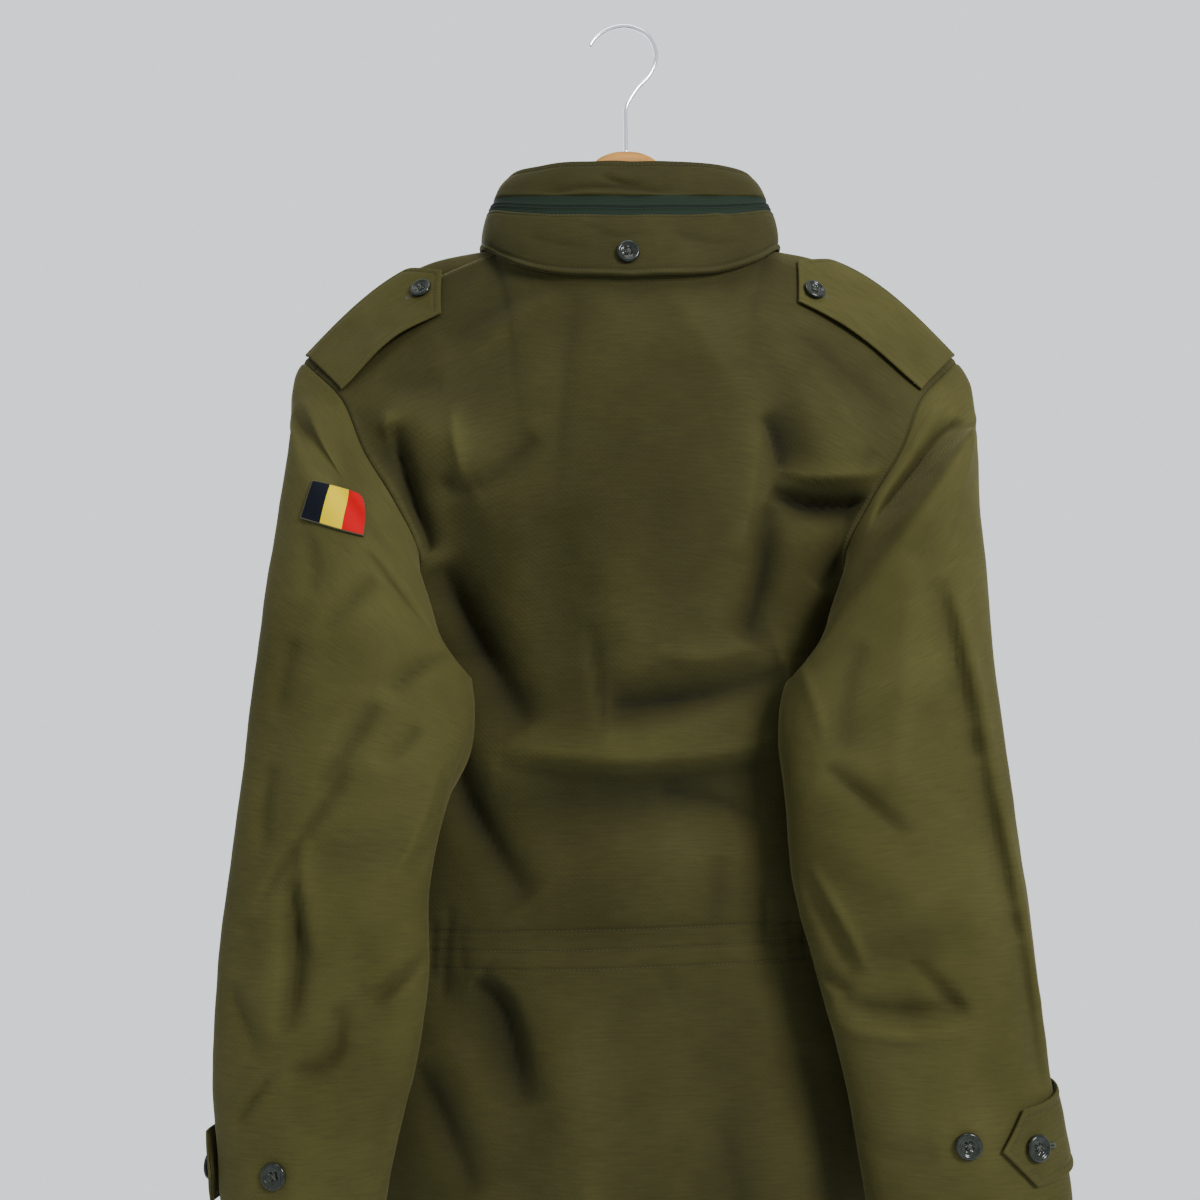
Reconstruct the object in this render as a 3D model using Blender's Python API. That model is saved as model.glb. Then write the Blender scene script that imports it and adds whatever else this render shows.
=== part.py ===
"""Field jacket on a wooden coat hanger.

Metres, +Z up.  The origin is where the hanger's hook rests on its support.  The jacket's back
faces -Y and the wearer's right side is at +X.  Every cloth piece is a thin wall worked out from
the cut: the armhole curve, the neckline curve, the torso and sleeve sections and the main folds.
"""

import math

import bmesh
import bpy
import numpy as np
from mathutils import Matrix, Vector

# ---------------------------------------------------------------- driving dimensions
MIDDLE_X = 0.006  # the jacket hangs a little to the right of the hook
CLOTH = 0.0020  # wall of the shell cloth with its seam allowances
SEAM_INSET = 0.00017  # each edge stands back from its seam, so that pieces are 0.3 mm apart
FOLDED_BACK = 0.2  # how alike two pieces' normals are where the seam between them is folded
LYING_FLAT = 0.8
STRAP_WALL = 0.0026  # two layers of cloth and a stiffener
TAB_WALL = 0.0024
PATCH_WALL = 0.0012
FLY_WALL = 0.0024
TORSO_CLEARANCE = 0.0045  # between the sleeves and the torso they hang against
HEAD_BULGE = {-1: 0.003, 1: 0.008}  # the sleeve heads' rise over a straight way to the sleeve
UNDERARM_DIP = 0.050  # how far the front of the underarm hangs below a straight way to the sleeve
UNDERARM_SPREAD = 0.020  # keeps the sleeve's front and back off its side that lies on the torso
SPREAD_LIMIT = 1.3  # the share of that which the sleeve's outer side gets
SPREAD_FADE = (3, 5)  # stations down the sleeve over which it dies out

HEM_Z = -1.045
ARMPIT_Z = -0.562
BACK_NECK_Z = -0.2585
FRONT_NECK_Z = -0.290
NECK_HALF_WIDTH = 0.121
NECK_HALF_DEPTH = 0.068
NECK_SQUARENESS = 0.85  # under 1 flattens the neckline's back and front

NECK_COLUMN = 0.43  # where the shoulder seam meets the neckline, as a share of the half panel
SEAM_ARM_ANGLE = -24  # the shoulder seam's end on the armhole, in degrees from its top
FRONT_ARM_ANGLE = 27  # where the front starts to turn over the shoulder
SEAM_NECK_ANGLE = 68  # the shoulder seam's end on the neckline, in degrees from the back middle
FRONT_NECK_ANGLE = 112
FRONT_TURN = (180 - FRONT_ARM_ANGLE) / (180 - SEAM_ARM_ANGLE)  # rows up to that turn, as a share
RIDGE_BULGE = 0.026  # the shoulder line's rise over a straight one
SEAM_BULGE = 0.019
FRONT_BULGE = 0.020

BUTTON_DIAMETER = 0.0185
BUTTON_THICKNESS = 0.0032
COLLAR_GAP = 0.0003  # between the neckline and the collar
COLLAR_LAP = 0.0038  # how far the collar hangs over the neckline behind and in front
COLLAR_END_ANGLE = 179.6
COLLAR_BUTTON_ANGLE = -0.7
COLLAR_BUTTON_HEIGHT = 0.19

NECK_COLUMNS = 5  # quads from the middle to the neck point, and on to the armhole
SHOULDER_COLUMNS = 7
BODY_ROWS = 15  # quads from hem to armpit
BACK_ARM_ROWS = 11  # quads up the back of the armhole, and up its front and over the shoulder
FRONT_ARM_ROWS = 9
TURN_ROWS = 4


# ---------------------------------------------------------------- curves and tables
def spline(knots, values, at):
    """Smooth curve through values at the knots, read at any place between them."""
    slopes = np.gradient(values, knots)
    at = np.clip(at, knots[0], knots[-1])
    i = np.clip(np.searchsorted(knots, at, side="right") - 1, 0, len(knots) - 2)
    span = knots[i + 1] - knots[i]
    s = (at - knots[i]) / span
    start = (1 + 2 * s) * (1 - s) ** 2 * values[i] + s * (1 - s) ** 2 * span * slopes[i]
    end = s * s * (3 - 2 * s) * values[i + 1] + s * s * (s - 1) * span * slopes[i + 1]
    return start + end


class Table:
    """A short table with named columns; each column reads as a smooth curve of the first."""

    def __init__(self, names, *rows):
        self.names = names.split()
        self.rows = np.array(rows, dtype=float)

    def __call__(self, name, at):
        return spline(self.rows[:, 0], self.rows[:, self.names.index(name)], np.asarray(at, dtype=float))


CENTRE = Table(
    "z back_y front_y roundness",
    (-1.045, -0.070, 0.105, 0.85),
    (-0.900, -0.066, 0.101, 0.85),
    (-0.785, -0.058, 0.094, 0.85),
    (-0.650, -0.067, 0.104, 0.80),
    (-0.562, -0.075, 0.107, 0.70),
    (-0.450, -0.086, 0.101, 0.30),
    (-0.360, -0.089, 0.089, 0.05),
    (-0.300, -0.080, 0.071, 0.00),
    (-0.262, -0.068, 0.062, 0.00),
)
SIDE = Table(
    "z half_width edge_y",
    (-1.045, 0.222, 0.015),
    (-0.900, 0.214, 0.018),
    (-0.785, 0.206, 0.020),
    (-0.650, 0.211, 0.021),
    (-0.562, 0.203, 0.022),
)
# round the armhole: 0 on the shoulder, 90 in front, 180 in the armpit, 270 behind
ARMHOLE_TURN = (
    (-24, 0.263, -0.022, -0.323),
    (0, 0.277, 0.000, -0.309),
    (27, 0.270, 0.028, -0.328),
    (60, 0.240, 0.062, -0.385),
    (100, 0.210, 0.084, -0.455),
    (140, 0.200, 0.070, -0.525),
    (180, 0.203, 0.022, -0.562),
    (212, 0.179, -0.031, -0.530),
    (240, 0.169, -0.056, -0.480),
    (262, 0.187, -0.060, -0.442),
    (288, 0.213, -0.056, -0.400),
    (314, 0.235, -0.044, -0.353),
)
ARMHOLE = Table(
    "angle x y z",
    *((angle + turn, x, y, z) for turn in (-360, 0, 360) for angle, x, y, z in ARMHOLE_TURN),
)
# round the neckline: 0 behind, 90 at the side, 180 in front
NECKLINE = Table(
    "angle z",
    (0, BACK_NECK_Z),
    (30, -0.2530),
    (50, -0.2390),
    (70, -0.221),
    (90, -0.211),
    (115, -0.228),
    (140, -0.260),
    (160, -0.281),
    (180, FRONT_NECK_Z),
)
SLEEVE = Table(
    "station z y half_depth tilt front_drop outer_left inner_left outer_right inner_right",
    (2, -0.5000, -0.068, 0.053, 48, 0.117, 0.271, 0.123, 0.268, 0.116),
    (3, -0.5780, -0.080, 0.047, 26, 0.078, 0.282, 0.121, 0.270, 0.109),
    (4, -0.6520, -0.084, 0.043, 12, 0.039, 0.289, 0.139, 0.276, 0.112),
    (5, -0.7300, -0.085, 0.041, 4, 0.013, 0.297, 0.150, 0.285, 0.117),
    (6, -0.8000, -0.084, 0.039, 0, 0.000, 0.303, 0.150, 0.292, 0.133),
    (7, -0.8650, -0.083, 0.037, 0, 0.000, 0.304, 0.159, 0.298, 0.149),
    (8, -0.9250, -0.081, 0.036, 0, 0.000, 0.298, 0.173, 0.308, 0.160),
    (9, -0.9780, -0.080, 0.035, 0, 0.000, 0.293, 0.181, 0.313, 0.167),
)
SLEEVE_STATIONS = (
    0, 0.25, 0.55, 0.9, 1.25, 1.6, 1.95, 2.3, 2.65, 3.0, 3.4, 3.8,
    4.2, 4.6, 5.0, 5.5, 6.0, 6.5, 7.0, 7.5, 8.0, 8.5, 9.0,
)
COLLAR = Table(
    "height half_width half_depth wall",
    (0.00, 0.1275, 0.0765, 0.0048),
    (0.25, 0.1270, 0.0755, 0.0048),
    (0.52, 0.1230, 0.0725, 0.0048),
    (0.68, 0.1185, 0.0705, 0.0050),
    (0.85, 0.1130, 0.0695, 0.0062),
    (1.00, 0.1040, 0.0640, 0.0056),
)
COLLAR_TOP = Table(
    "angle z",
    (0, -0.158),
    (40, -0.154),
    (90, -0.148),
    (140, -0.160),
    (180, -0.184),
)
# troughs (negative) and ridges (positive) from one point of the cloth to another
FOLD_COLUMNS = "x0 z0 x1 z1 width depth"
BACK_FOLDS = Table(
    FOLD_COLUMNS,
    (-0.205, -0.350, -0.118, -0.420, 0.030, 0.010),
    (-0.150, -0.440, -0.125, -0.540, 0.030, -0.012),
    (0.118, -0.350, 0.128, -0.420, 0.018, -0.009),
    (0.150, -0.380, 0.205, -0.410, 0.034, 0.009),
    (0.120, -0.432, 0.190, -0.440, 0.020, -0.010),
    (-0.012, -0.450, 0.000, -0.600, 0.026, 0.006),
    (-0.060, -0.470, -0.050, -0.580, 0.024, -0.005),
    (-0.120, -0.645, 0.000, -0.632, 0.024, 0.008),
    (0.000, -0.632, 0.130, -0.565, 0.024, 0.009),
    (-0.110, -0.685, 0.120, -0.665, 0.030, -0.010),
    (0.000, -0.730, 0.110, -0.725, 0.040, 0.005),
    (-0.150, -0.780, 0.150, -0.772, 0.012, -0.003),
    (-0.150, -0.800, -0.070, -0.900, 0.024, -0.009),
    (-0.060, -0.810, -0.020, -1.000, 0.030, 0.005),
    (0.060, -0.830, 0.090, -1.030, 0.030, -0.005),
    (0.130, -0.780, 0.140, -0.840, 0.012, -0.004),
)
FRONT_FOLDS = Table(
    FOLD_COLUMNS,
    (0.180, -0.380, 0.110, -0.520, 0.024, 0.008),
    (0.200, -0.500, 0.110, -0.650, 0.030, -0.009),
    (0.150, -0.600, 0.060, -0.740, 0.026, 0.007),
    (0.060, -0.780, 0.170, -0.775, 0.014, -0.004),
    (0.120, -0.800, 0.140, -1.020, 0.028, -0.007),
    (0.070, -0.820, 0.075, -1.040, 0.030, 0.005),
)
SLEEVE_BACK_FOLDS = {
    -1: Table(
        FOLD_COLUMNS,
        (0.272, -0.345, 0.205, -0.415, 0.016, 0.006),
        (0.205, -0.415, 0.150, -0.520, 0.018, 0.009),
        (0.240, -0.360, 0.195, -0.440, 0.016, -0.008),
        (0.150, -0.600, 0.250, -0.560, 0.020, -0.004),
        (0.145, -0.655, 0.235, -0.640, 0.018, 0.005),
        (0.150, -0.700, 0.230, -0.720, 0.018, -0.006),
        (0.240, -0.700, 0.270, -0.900, 0.022, 0.004),
        (0.180, -0.780, 0.200, -0.940, 0.020, -0.004),
    ),
    1: Table(
        FOLD_COLUMNS,
        (0.270, -0.350, 0.215, -0.412, 0.014, -0.010),
        (0.215, -0.412, 0.190, -0.460, 0.014, -0.009),
        (0.280, -0.380, 0.170, -0.500, 0.018, 0.008),
        (0.240, -0.420, 0.235, -0.620, 0.026, 0.004),
        (0.130, -0.640, 0.220, -0.600, 0.018, -0.005),
        (0.125, -0.700, 0.200, -0.740, 0.018, 0.005),
        (0.140, -0.790, 0.220, -0.770, 0.016, -0.006),
        (0.210, -0.800, 0.235, -0.940, 0.020, 0.004),
    ),
}
SLEEVE_FRONT_FOLDS = Table(
    FOLD_COLUMNS,
    (0.260, -0.430, 0.200, -0.560, 0.020, 0.006),
    (0.270, -0.600, 0.190, -0.640, 0.018, -0.006),
    (0.270, -0.680, 0.180, -0.660, 0.018, 0.006),
    (0.270, -0.740, 0.190, -0.800, 0.020, -0.005),
)


def ramp(value, low, high):
    """0 under low and 1 over high, with soft ends."""
    share = np.clip((value - low) / (high - low), 0, 1)
    return share * share * (3 - 2 * share)


def between(first, second, share):
    return first + (second - first) * np.asarray(share)[..., None]


def fold_depth(folds, x, z):
    """Height of the cloth over its plain form: soft banks along each row of the table."""
    total = np.zeros(np.shape(x))
    for x0, z0, x1, z1, width, depth in folds.rows:
        length_squared = (x1 - x0) ** 2 + (z1 - z0) ** 2
        along = ((x - x0) * (x1 - x0) + (z - z0) * (z1 - z0)) / length_squared
        nearest = np.clip(along, 0, 1)
        away = np.hypot(x - x0 - nearest * (x1 - x0), z - z0 - nearest * (z1 - z0))
        taper = 0.45 + 0.55 * np.sin(math.pi * nearest)
        total = total + depth * taper * np.exp(-((away / width) ** 2))
    return total


# ---------------------------------------------------------------- the cut
def armhole(angle):
    return np.stack([ARMHOLE(axis, angle) for axis in "xyz"], axis=-1)


def neck_ring(angle, half_width, half_depth, z):
    """A point on a ring round the neck, flattened behind and in front."""
    sine = np.sin(np.radians(angle))
    cosine = np.cos(np.radians(angle))
    x = half_width * np.sign(sine) * np.abs(sine) ** NECK_SQUARENESS
    y = -half_depth * np.sign(cosine) * np.abs(cosine) ** NECK_SQUARENESS
    return np.stack(np.broadcast_arrays(x, y, z), axis=-1)


def neckline(angle):
    return neck_ring(angle, NECK_HALF_WIDTH, NECK_HALF_DEPTH, NECKLINE("z", np.abs(angle)))


def shoulder_line(neck_angle, arm_angle, share, rise, lean):
    """From the neckline to the armhole, raised in its middle and leaning towards +Y there."""
    line = between(neckline(neck_angle), armhole(arm_angle), share)
    arch = np.sin(math.pi * np.clip(share, 0, 1))
    line[..., 1] += lean * arch
    line[..., 2] += rise * arch
    return line


def shoulder_share(column):
    return np.clip((column - NECK_COLUMN) / (1 - NECK_COLUMN), 0, 1)


def top_line(column):
    """The back panel's upper edge: neckline, then shoulder seam."""
    neck = neckline(SEAM_NECK_ANGLE * np.clip(column / NECK_COLUMN, 0, 1))
    seam = shoulder_line(SEAM_NECK_ANGLE, SEAM_ARM_ANGLE, shoulder_share(column), SEAM_BULGE, 0.010)
    return np.where((column < NECK_COLUMN)[..., None], neck, seam)


def front_line(column):
    """The front neckline, then the line where the front turns over the shoulder."""
    neck = neckline(180 - (180 - FRONT_NECK_ANGLE) * np.clip(column / NECK_COLUMN, 0, 1))
    turn = shoulder_line(FRONT_NECK_ANGLE, FRONT_ARM_ANGLE, shoulder_share(column), FRONT_BULGE, -0.012)
    return np.where((column < NECK_COLUMN)[..., None], neck, turn)


def plain_panel(face, column, level):
    """The panel before its top is shaped.  Level 0 is the hem, 1 the armpit and 2 the top."""
    body_z = HEM_Z + (ARMPIT_Z - HEM_Z) * np.clip(level, 0, 1)
    climb = np.clip(level - 1, 0, 1)
    if face == "back":
        angle = 180 + (180 + SEAM_ARM_ANGLE) * climb
        middle_z = body_z + (BACK_NECK_Z - ARMPIT_Z) * climb
    else:
        angle = 180 - (180 - SEAM_ARM_ANGLE) * climb
        middle_z = body_z + (FRONT_NECK_Z - ARMPIT_Z) * np.clip(climb / FRONT_TURN, 0, 1)
    side = np.stack([SIDE("half_width", body_z), SIDE("edge_y", body_z), body_z], axis=-1)
    edge = np.where((level > 1)[..., None], armhole(angle), side)
    middle_y = CENTRE(face + "_y", middle_z)
    roundness = CENTRE("roundness", middle_z)
    share = column * (1 - roundness) + np.sin(column * math.pi / 2) * roundness
    arc = np.clip(1 - share**2, 0, 1) ** (1 - roundness / 2)
    x = share * edge[..., 0]
    y = edge[..., 1] + (middle_y - edge[..., 1]) * arc
    z = middle_z + (edge[..., 2] - middle_z) * share**2
    return np.stack([x, y, z], axis=-1)


def back_half(column, level):
    """The back panel's right half before its folds."""
    points = plain_panel("back", column, level)
    top_change = top_line(column) - plain_panel("back", column, np.full_like(level, 2.0))
    return points + top_change * (np.clip((level - 1.25) / 0.75, 0, 1) ** 2)[..., None]


def front_half(column, level):
    """The right front before its folds, up over the shoulder to the shoulder seam."""
    turn_level = 1 + FRONT_TURN
    lower = np.minimum(level, turn_level)
    points = plain_panel("front", column, lower)
    change = front_line(column) - plain_panel("front", column, np.full_like(level, turn_level))
    points = points + change * (np.clip((lower - 1.15) / (turn_level - 1.15), 0, 1) ** 2)[..., None]
    share = shoulder_share(column)
    over = np.clip((level - turn_level) / (2 - turn_level), 0, 1)
    arm_angle = FRONT_ARM_ANGLE + (SEAM_ARM_ANGLE - FRONT_ARM_ANGLE) * over
    neck_angle = FRONT_NECK_ANGLE + (SEAM_NECK_ANGLE - FRONT_NECK_ANGLE) * over
    middle = 4 * over * (1 - over)
    rise = FRONT_BULGE * (1 - over) + SEAM_BULGE * over + (RIDGE_BULGE - 0.0195) * middle
    lean = -0.012 * (1 - over) + 0.010 * over
    shoulder = shoulder_line(neck_angle, arm_angle, share, rise, lean)
    return np.where((level > turn_level)[..., None], shoulder, points)


def edge_fade(column, level):
    """Folds die out at the side seams, the armholes and the top."""
    return (1 - np.clip(column, 0, 1) ** 8) * (1 - ramp(level, 1.72, 1.95))


def back_panel(column, level):
    """Column runs from -1 at the left side to 1 at the right."""
    side = np.where(column < 0, -1.0, 1.0)
    points = back_half(np.abs(column), level)
    points[..., 0] *= side
    points[..., 1] -= fold_depth(BACK_FOLDS, points[..., 0], points[..., 2]) * edge_fade(np.abs(column), level)
    points[..., 0] += MIDDLE_X
    return points


def front_panel(side, column, level):
    points = front_half(column, level)
    fade = edge_fade(column, level) * ramp(column, 0.05, 0.30)
    points[..., 1] += fold_depth(FRONT_FOLDS, points[..., 0], points[..., 2]) * fade
    points[..., 0] = MIDDLE_X + side * points[..., 0]
    return points


def sleeve_ring(side, angle, station):
    """The hanging sleeve's sections: tilted ovals, named by their outer and inner edges."""
    name = "_left" if side < 0 else "_right"
    outer = SLEEVE("outer" + name, station)
    inner = SLEEVE("inner" + name, station)
    tilt = np.radians(SLEEVE("tilt", station))
    cosine = np.cos(np.radians(angle))
    x = (outer + inner) / 2 + (outer - inner) / 2 * cosine
    sine = np.sin(np.radians(angle))
    y = SLEEVE("y", station) + SLEEVE("half_depth", station) * sine
    z = SLEEVE("z", station) + (outer - inner) / 2 * np.tan(tilt) * cosine
    z = z - SLEEVE("front_drop", station) * np.clip(sine, 0, 1) * np.clip(1 - cosine, 0, 1)
    return np.stack(np.broadcast_arrays(x, y, z), axis=-1)


def clear_of_torso(points, clearance):
    """Moves what would lie in the torso out to its side or its back."""
    x = points[..., 0]
    z = points[..., 2]
    edge_y = SIDE("edge_y", z)
    y = points[..., 1] - edge_y
    half_width = SIDE("half_width", z) + clearance
    level_z = np.minimum(z, ARMPIT_Z)
    half_depth = np.where(y < 0, edge_y - CENTRE("back_y", level_z), CENTRE("front_y", level_z) - edge_y)
    reach = np.hypot(x / half_width, y / (half_depth + clearance))
    growth = 1 + (1 / np.clip(reach, 0.4, 1) - 1) * (1 - ramp(z, -0.515, -0.470))
    return np.stack([x * growth, edge_y + y * growth, z], axis=-1)


def sleeve_plain(side, angle, station):
    """From the armhole (station 0) over the sleeve head to the cuff (station 9)."""
    root = armhole(angle)
    first = np.full_like(station, 2.0)
    ring = sleeve_ring(side, angle, first)
    slope = (sleeve_ring(side, angle, first + 0.05) - ring) / 0.05
    front = np.clip(np.sin(np.radians(angle)), 0, 1)
    top = np.clip(np.cos(np.radians(angle)), 0, 1)
    under = np.clip(-np.cos(np.radians(angle)), 0, 1)
    behind = np.clip(-np.sin(np.radians(angle)), 0, 1)
    middle = (root + ring) / 2
    middle[..., 0] += 0.026 * front + HEAD_BULGE[side] * top
    middle[..., 0] -= 0.016 * under * behind
    middle[..., 2] -= 0.014 * under + UNDERARM_DIP * under * front
    start_slope = middle - root
    start_slope[..., 0] += 0.028 * top + 0.040 * front + 0.030 * under**3
    start_slope[..., 2] -= 0.030 * under
    middle_slope = (ring - root) / 2

    def hermite(a, b, slope_a, slope_b, s):
        s = s[..., None]
        start = (1 + 2 * s) * (1 - s) ** 2 * a + s * (1 - s) ** 2 * slope_a
        return start + s * s * (3 - 2 * s) * b + s * s * (s - 1) * slope_b

    head = hermite(root, middle, start_slope, middle_slope, np.clip(station, 0, 1))
    upper = hermite(middle, ring, middle_slope, slope, np.clip(station - 1, 0, 1))
    lower = sleeve_ring(side, angle, np.maximum(station, 2.0))
    points = np.where((station < 1)[..., None], head, upper)
    points = np.where((station < 2)[..., None], points, lower)
    spread = UNDERARM_SPREAD * np.minimum(1 - under + top, SPREAD_LIMIT) * ramp(station, 0.0, 0.9) * (1 - ramp(station, *SPREAD_FADE))
    moved = clear_of_torso(points, TORSO_CLEARANCE + spread)
    return between(points, moved, ramp(station, 0.0, 0.25))


def sleeve(side, angle, station):
    points = sleeve_plain(side, angle, station)
    sine = np.sin(np.radians(angle))
    fade = ramp(station, 0.1, 0.7) * (1 - ramp(station, 8.6, 9.0))
    behind = np.sqrt(np.clip(-sine, 0, 1))
    ahead = np.sqrt(np.clip(sine, 0, 1))
    x = points[..., 0]
    z = points[..., 2]
    points[..., 1] -= fold_depth(SLEEVE_BACK_FOLDS[side], x, z) * behind * fade
    points[..., 1] += fold_depth(SLEEVE_FRONT_FOLDS, x, z) * ahead * fade * ramp(station, 1.5, 2.5)
    points[..., 0] = MIDDLE_X + side * x
    return points


def collar(angle, height):
    """The stand-up collar's outer face: angle round the neck, height from 0 to 1."""
    lap = COLLAR_LAP * np.cos(np.radians(angle)) ** 4
    z0 = NECKLINE("z", np.abs(angle)) + COLLAR_GAP - lap
    z = z0 + (COLLAR_TOP("z", np.abs(angle)) - z0) * height
    points = neck_ring(angle, COLLAR("half_width", height), COLLAR("half_depth", height), z)
    points[..., 0] += MIDDLE_X
    return points


def shoulder_cloth(side, column, distance):
    """A point of the shoulder, by its way down the back from the ridge."""
    ridge_level = 1 + FRONT_TURN + (1 - FRONT_TURN) / 2
    over = front_panel(side, np.full(9, column), np.linspace(ridge_level, 2, 9))
    down = back_panel(np.full(13, side * column), np.linspace(2, 1.70, 13))
    path = np.concatenate([over, down[1:]])
    way = np.concatenate([[0], np.cumsum(np.linalg.norm(np.diff(path, axis=0), axis=1))])
    return np.array([np.interp(distance, way, path[:, axis]) for axis in range(3)])


# ---------------------------------------------------------------- meshes
def grid_surface(function, across, along, ring=False, flip=False, keep=None):
    """Points of a surface function on a grid, and its quads, seen from outside."""
    u, v = np.meshgrid(np.array(across, dtype=float), np.array(along, dtype=float))
    points = function(u, v).reshape(-1, 3)
    count = len(across)
    quads = []
    for j in range(len(along) - 1):
        for i in range(count if ring else count - 1):
            if keep and not keep(i, j):
                continue
            right = (i + 1) % count
            quad = (j * count + i, j * count + right, (j + 1) * count + right, (j + 1) * count + i)
            quads.append(quad[::-1] if flip else quad)
    return points, quads


def face_normals(points, quads):
    corners = points[np.array(quads)]
    normals = np.cross(corners[:, 2] - corners[:, 0], corners[:, 3] - corners[:, 1])
    return normals / np.linalg.norm(normals, axis=1)[:, None]


def unit(vectors):
    lengths = np.linalg.norm(vectors, axis=-1, keepdims=True)
    return vectors / np.maximum(lengths, 1e-9)


def place_key(point):
    return tuple(np.round(point * 1e5).astype(int))


def point_normals(surfaces):
    """Normals at each surface's points, shared where two pieces meet."""
    sums = {}
    for points, quads in surfaces:
        for quad, normal in zip(quads, face_normals(points, quads)):
            for corner in quad:
                key = place_key(points[corner])
                sums[key] = sums.get(key, 0) + normal
    up = np.array([0.0, 0.0, 1.0])
    return [unit(np.array([sums.get(place_key(point), up) for point in points])) for points, _ in surfaces]


def join_normals(points, normals, other_points, other_normals):
    """Normals that lean to the other piece's along a seam, but not where it is folded back."""
    others = {place_key(point): normal for point, normal in zip(other_points, other_normals)}
    joined = normals.copy()
    for corner, point in enumerate(points):
        other = others.get(place_key(point))
        if other is not None:
            share = ramp(np.dot(normals[corner], other), FOLDED_BACK, LYING_FLAT)
            joined[corner] = unit(normals[corner] + other * share)
    return joined


def inset_border(points, quads, amount):
    """Moves the border's points towards the middle of the quads they belong to."""
    uses = {}
    for quad in quads:
        for a, b in zip(quad, quad[1:] + quad[:1]):
            uses[frozenset((a, b))] = uses.get(frozenset((a, b)), 0) + 1
    border = {corner for edge, count in uses.items() if count == 1 for corner in edge}
    centres = {corner: [] for corner in border}
    for quad in quads:
        for corner in quad:
            if corner in border:
                centres[corner].append(points[list(quad)].mean(axis=0))
    moved = points.copy()
    for corner, middles in centres.items():
        inward = np.mean(middles, axis=0) - points[corner]
        moved[corner] += inward / np.linalg.norm(inward) * amount
    return moved


def halves(quad, points):
    """A quad's two triangles, split along its shorter diagonal, alike on both sides of a wall."""
    a, b, c, d = quad
    if np.linalg.norm(points[a] - points[c]) <= np.linalg.norm(points[b] - points[d]):
        return (a, b, c), (a, c, d)
    return (a, b, d), (b, c, d)


def wall(name, points, quads, normals, thickness, inset=SEAM_INSET):
    """A closed wall: the surface, its copy inside, and the rims between them."""
    outer = inset_border(points, quads, inset)
    inner = outer - normals * np.reshape(thickness, (-1, 1))
    bm = bmesh.new()
    used = sorted({corner for quad in quads for corner in quad})
    outside = {corner: bm.verts.new(outer[corner]) for corner in used}
    inside = {corner: bm.verts.new(inner[corner]) for corner in used}
    edges = set()
    for quad in quads:
        for triangle in halves(quad, outer):
            bm.faces.new([outside[corner] for corner in triangle])
            bm.faces.new([inside[corner] for corner in reversed(triangle)])
        edges.update(zip(quad, quad[1:] + quad[:1]))
    for a, b in sorted(edges):
        if (b, a) not in edges:
            bm.faces.new([outside[b], outside[a], inside[a], inside[b]])
    return add_mesh(name, bm)


def add_mesh(name, bm):
    mesh = bpy.data.meshes.new(name)
    bm.to_mesh(mesh)
    bm.free()
    obj = bpy.data.objects.new(name, mesh)
    bpy.data.collections["field_jacket"].objects.link(obj)
    mesh.shade_smooth()
    mesh.set_sharp_from_angle(angle=math.radians(40))
    return obj


def laid_on(name, points, quads, thickness, gap, inset=0.0):
    """A piece that lies on a panel: the panel's points moved out, and a wall on them."""
    normals = point_normals([(points, quads)])[0]
    outer = points + normals * (np.reshape(gap, (-1, 1)) + thickness)
    return wall(name, outer, quads, normals, thickness, inset)


# ---------------------------------------------------------------- materials
def make_material(name, colour, roughness, metallic=0.0):
    material = bpy.data.materials.new(name)
    material.use_nodes = True
    shader = material.node_tree.nodes["Principled BSDF"]
    shader.inputs["Base Color"].default_value = (*colour, 1)
    shader.inputs["Roughness"].default_value = roughness
    shader.inputs["Metallic"].default_value = metallic
    return material


def give(material, *objects):
    for obj in objects:
        obj.data.materials.append(material)


# ---------------------------------------------------------------- the shell
def half_columns():
    neck = np.linspace(0, NECK_COLUMN, NECK_COLUMNS + 1)
    shoulder = np.linspace(NECK_COLUMN, 1, SHOULDER_COLUMNS + 1)
    return np.concatenate([neck, shoulder[1:]])


def body_levels():
    return np.linspace(0, 1, BODY_ROWS + 1)


def back_levels():
    return np.concatenate([body_levels(), np.linspace(1, 2, BACK_ARM_ROWS + 1)[1:]])


def front_levels():
    turn = 1 + FRONT_TURN
    rising = np.linspace(1, turn, FRONT_ARM_ROWS + 1)[1:]
    return np.concatenate([body_levels(), rising, np.linspace(turn, 2, TURN_ROWS + 1)[1:]])


def armhole_angles():
    """The angles where the panels' rows end on the armhole, once round."""
    behind = 180 + (180 + SEAM_ARM_ANGLE) * (back_levels()[BODY_ROWS:] - 1)
    ahead = 180 - (180 - SEAM_ARM_ANGLE) * (front_levels()[BODY_ROWS:] - 1)
    return np.concatenate([ahead[::-1], behind[1:-1]])


def neck_angles():
    """The angles where the panels' columns and rows end on the neckline, from back to front."""
    columns = half_columns()[: NECK_COLUMNS + 1] / NECK_COLUMN
    over = np.linspace(0, 1, TURN_ROWS + 1)[1:-1]
    turn = SEAM_NECK_ANGLE + (FRONT_NECK_ANGLE - SEAM_NECK_ANGLE) * over
    ahead = FRONT_NECK_ANGLE + (180 - FRONT_NECK_ANGLE) * columns
    return np.concatenate([SEAM_NECK_ANGLE * columns, turn, ahead])


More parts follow.
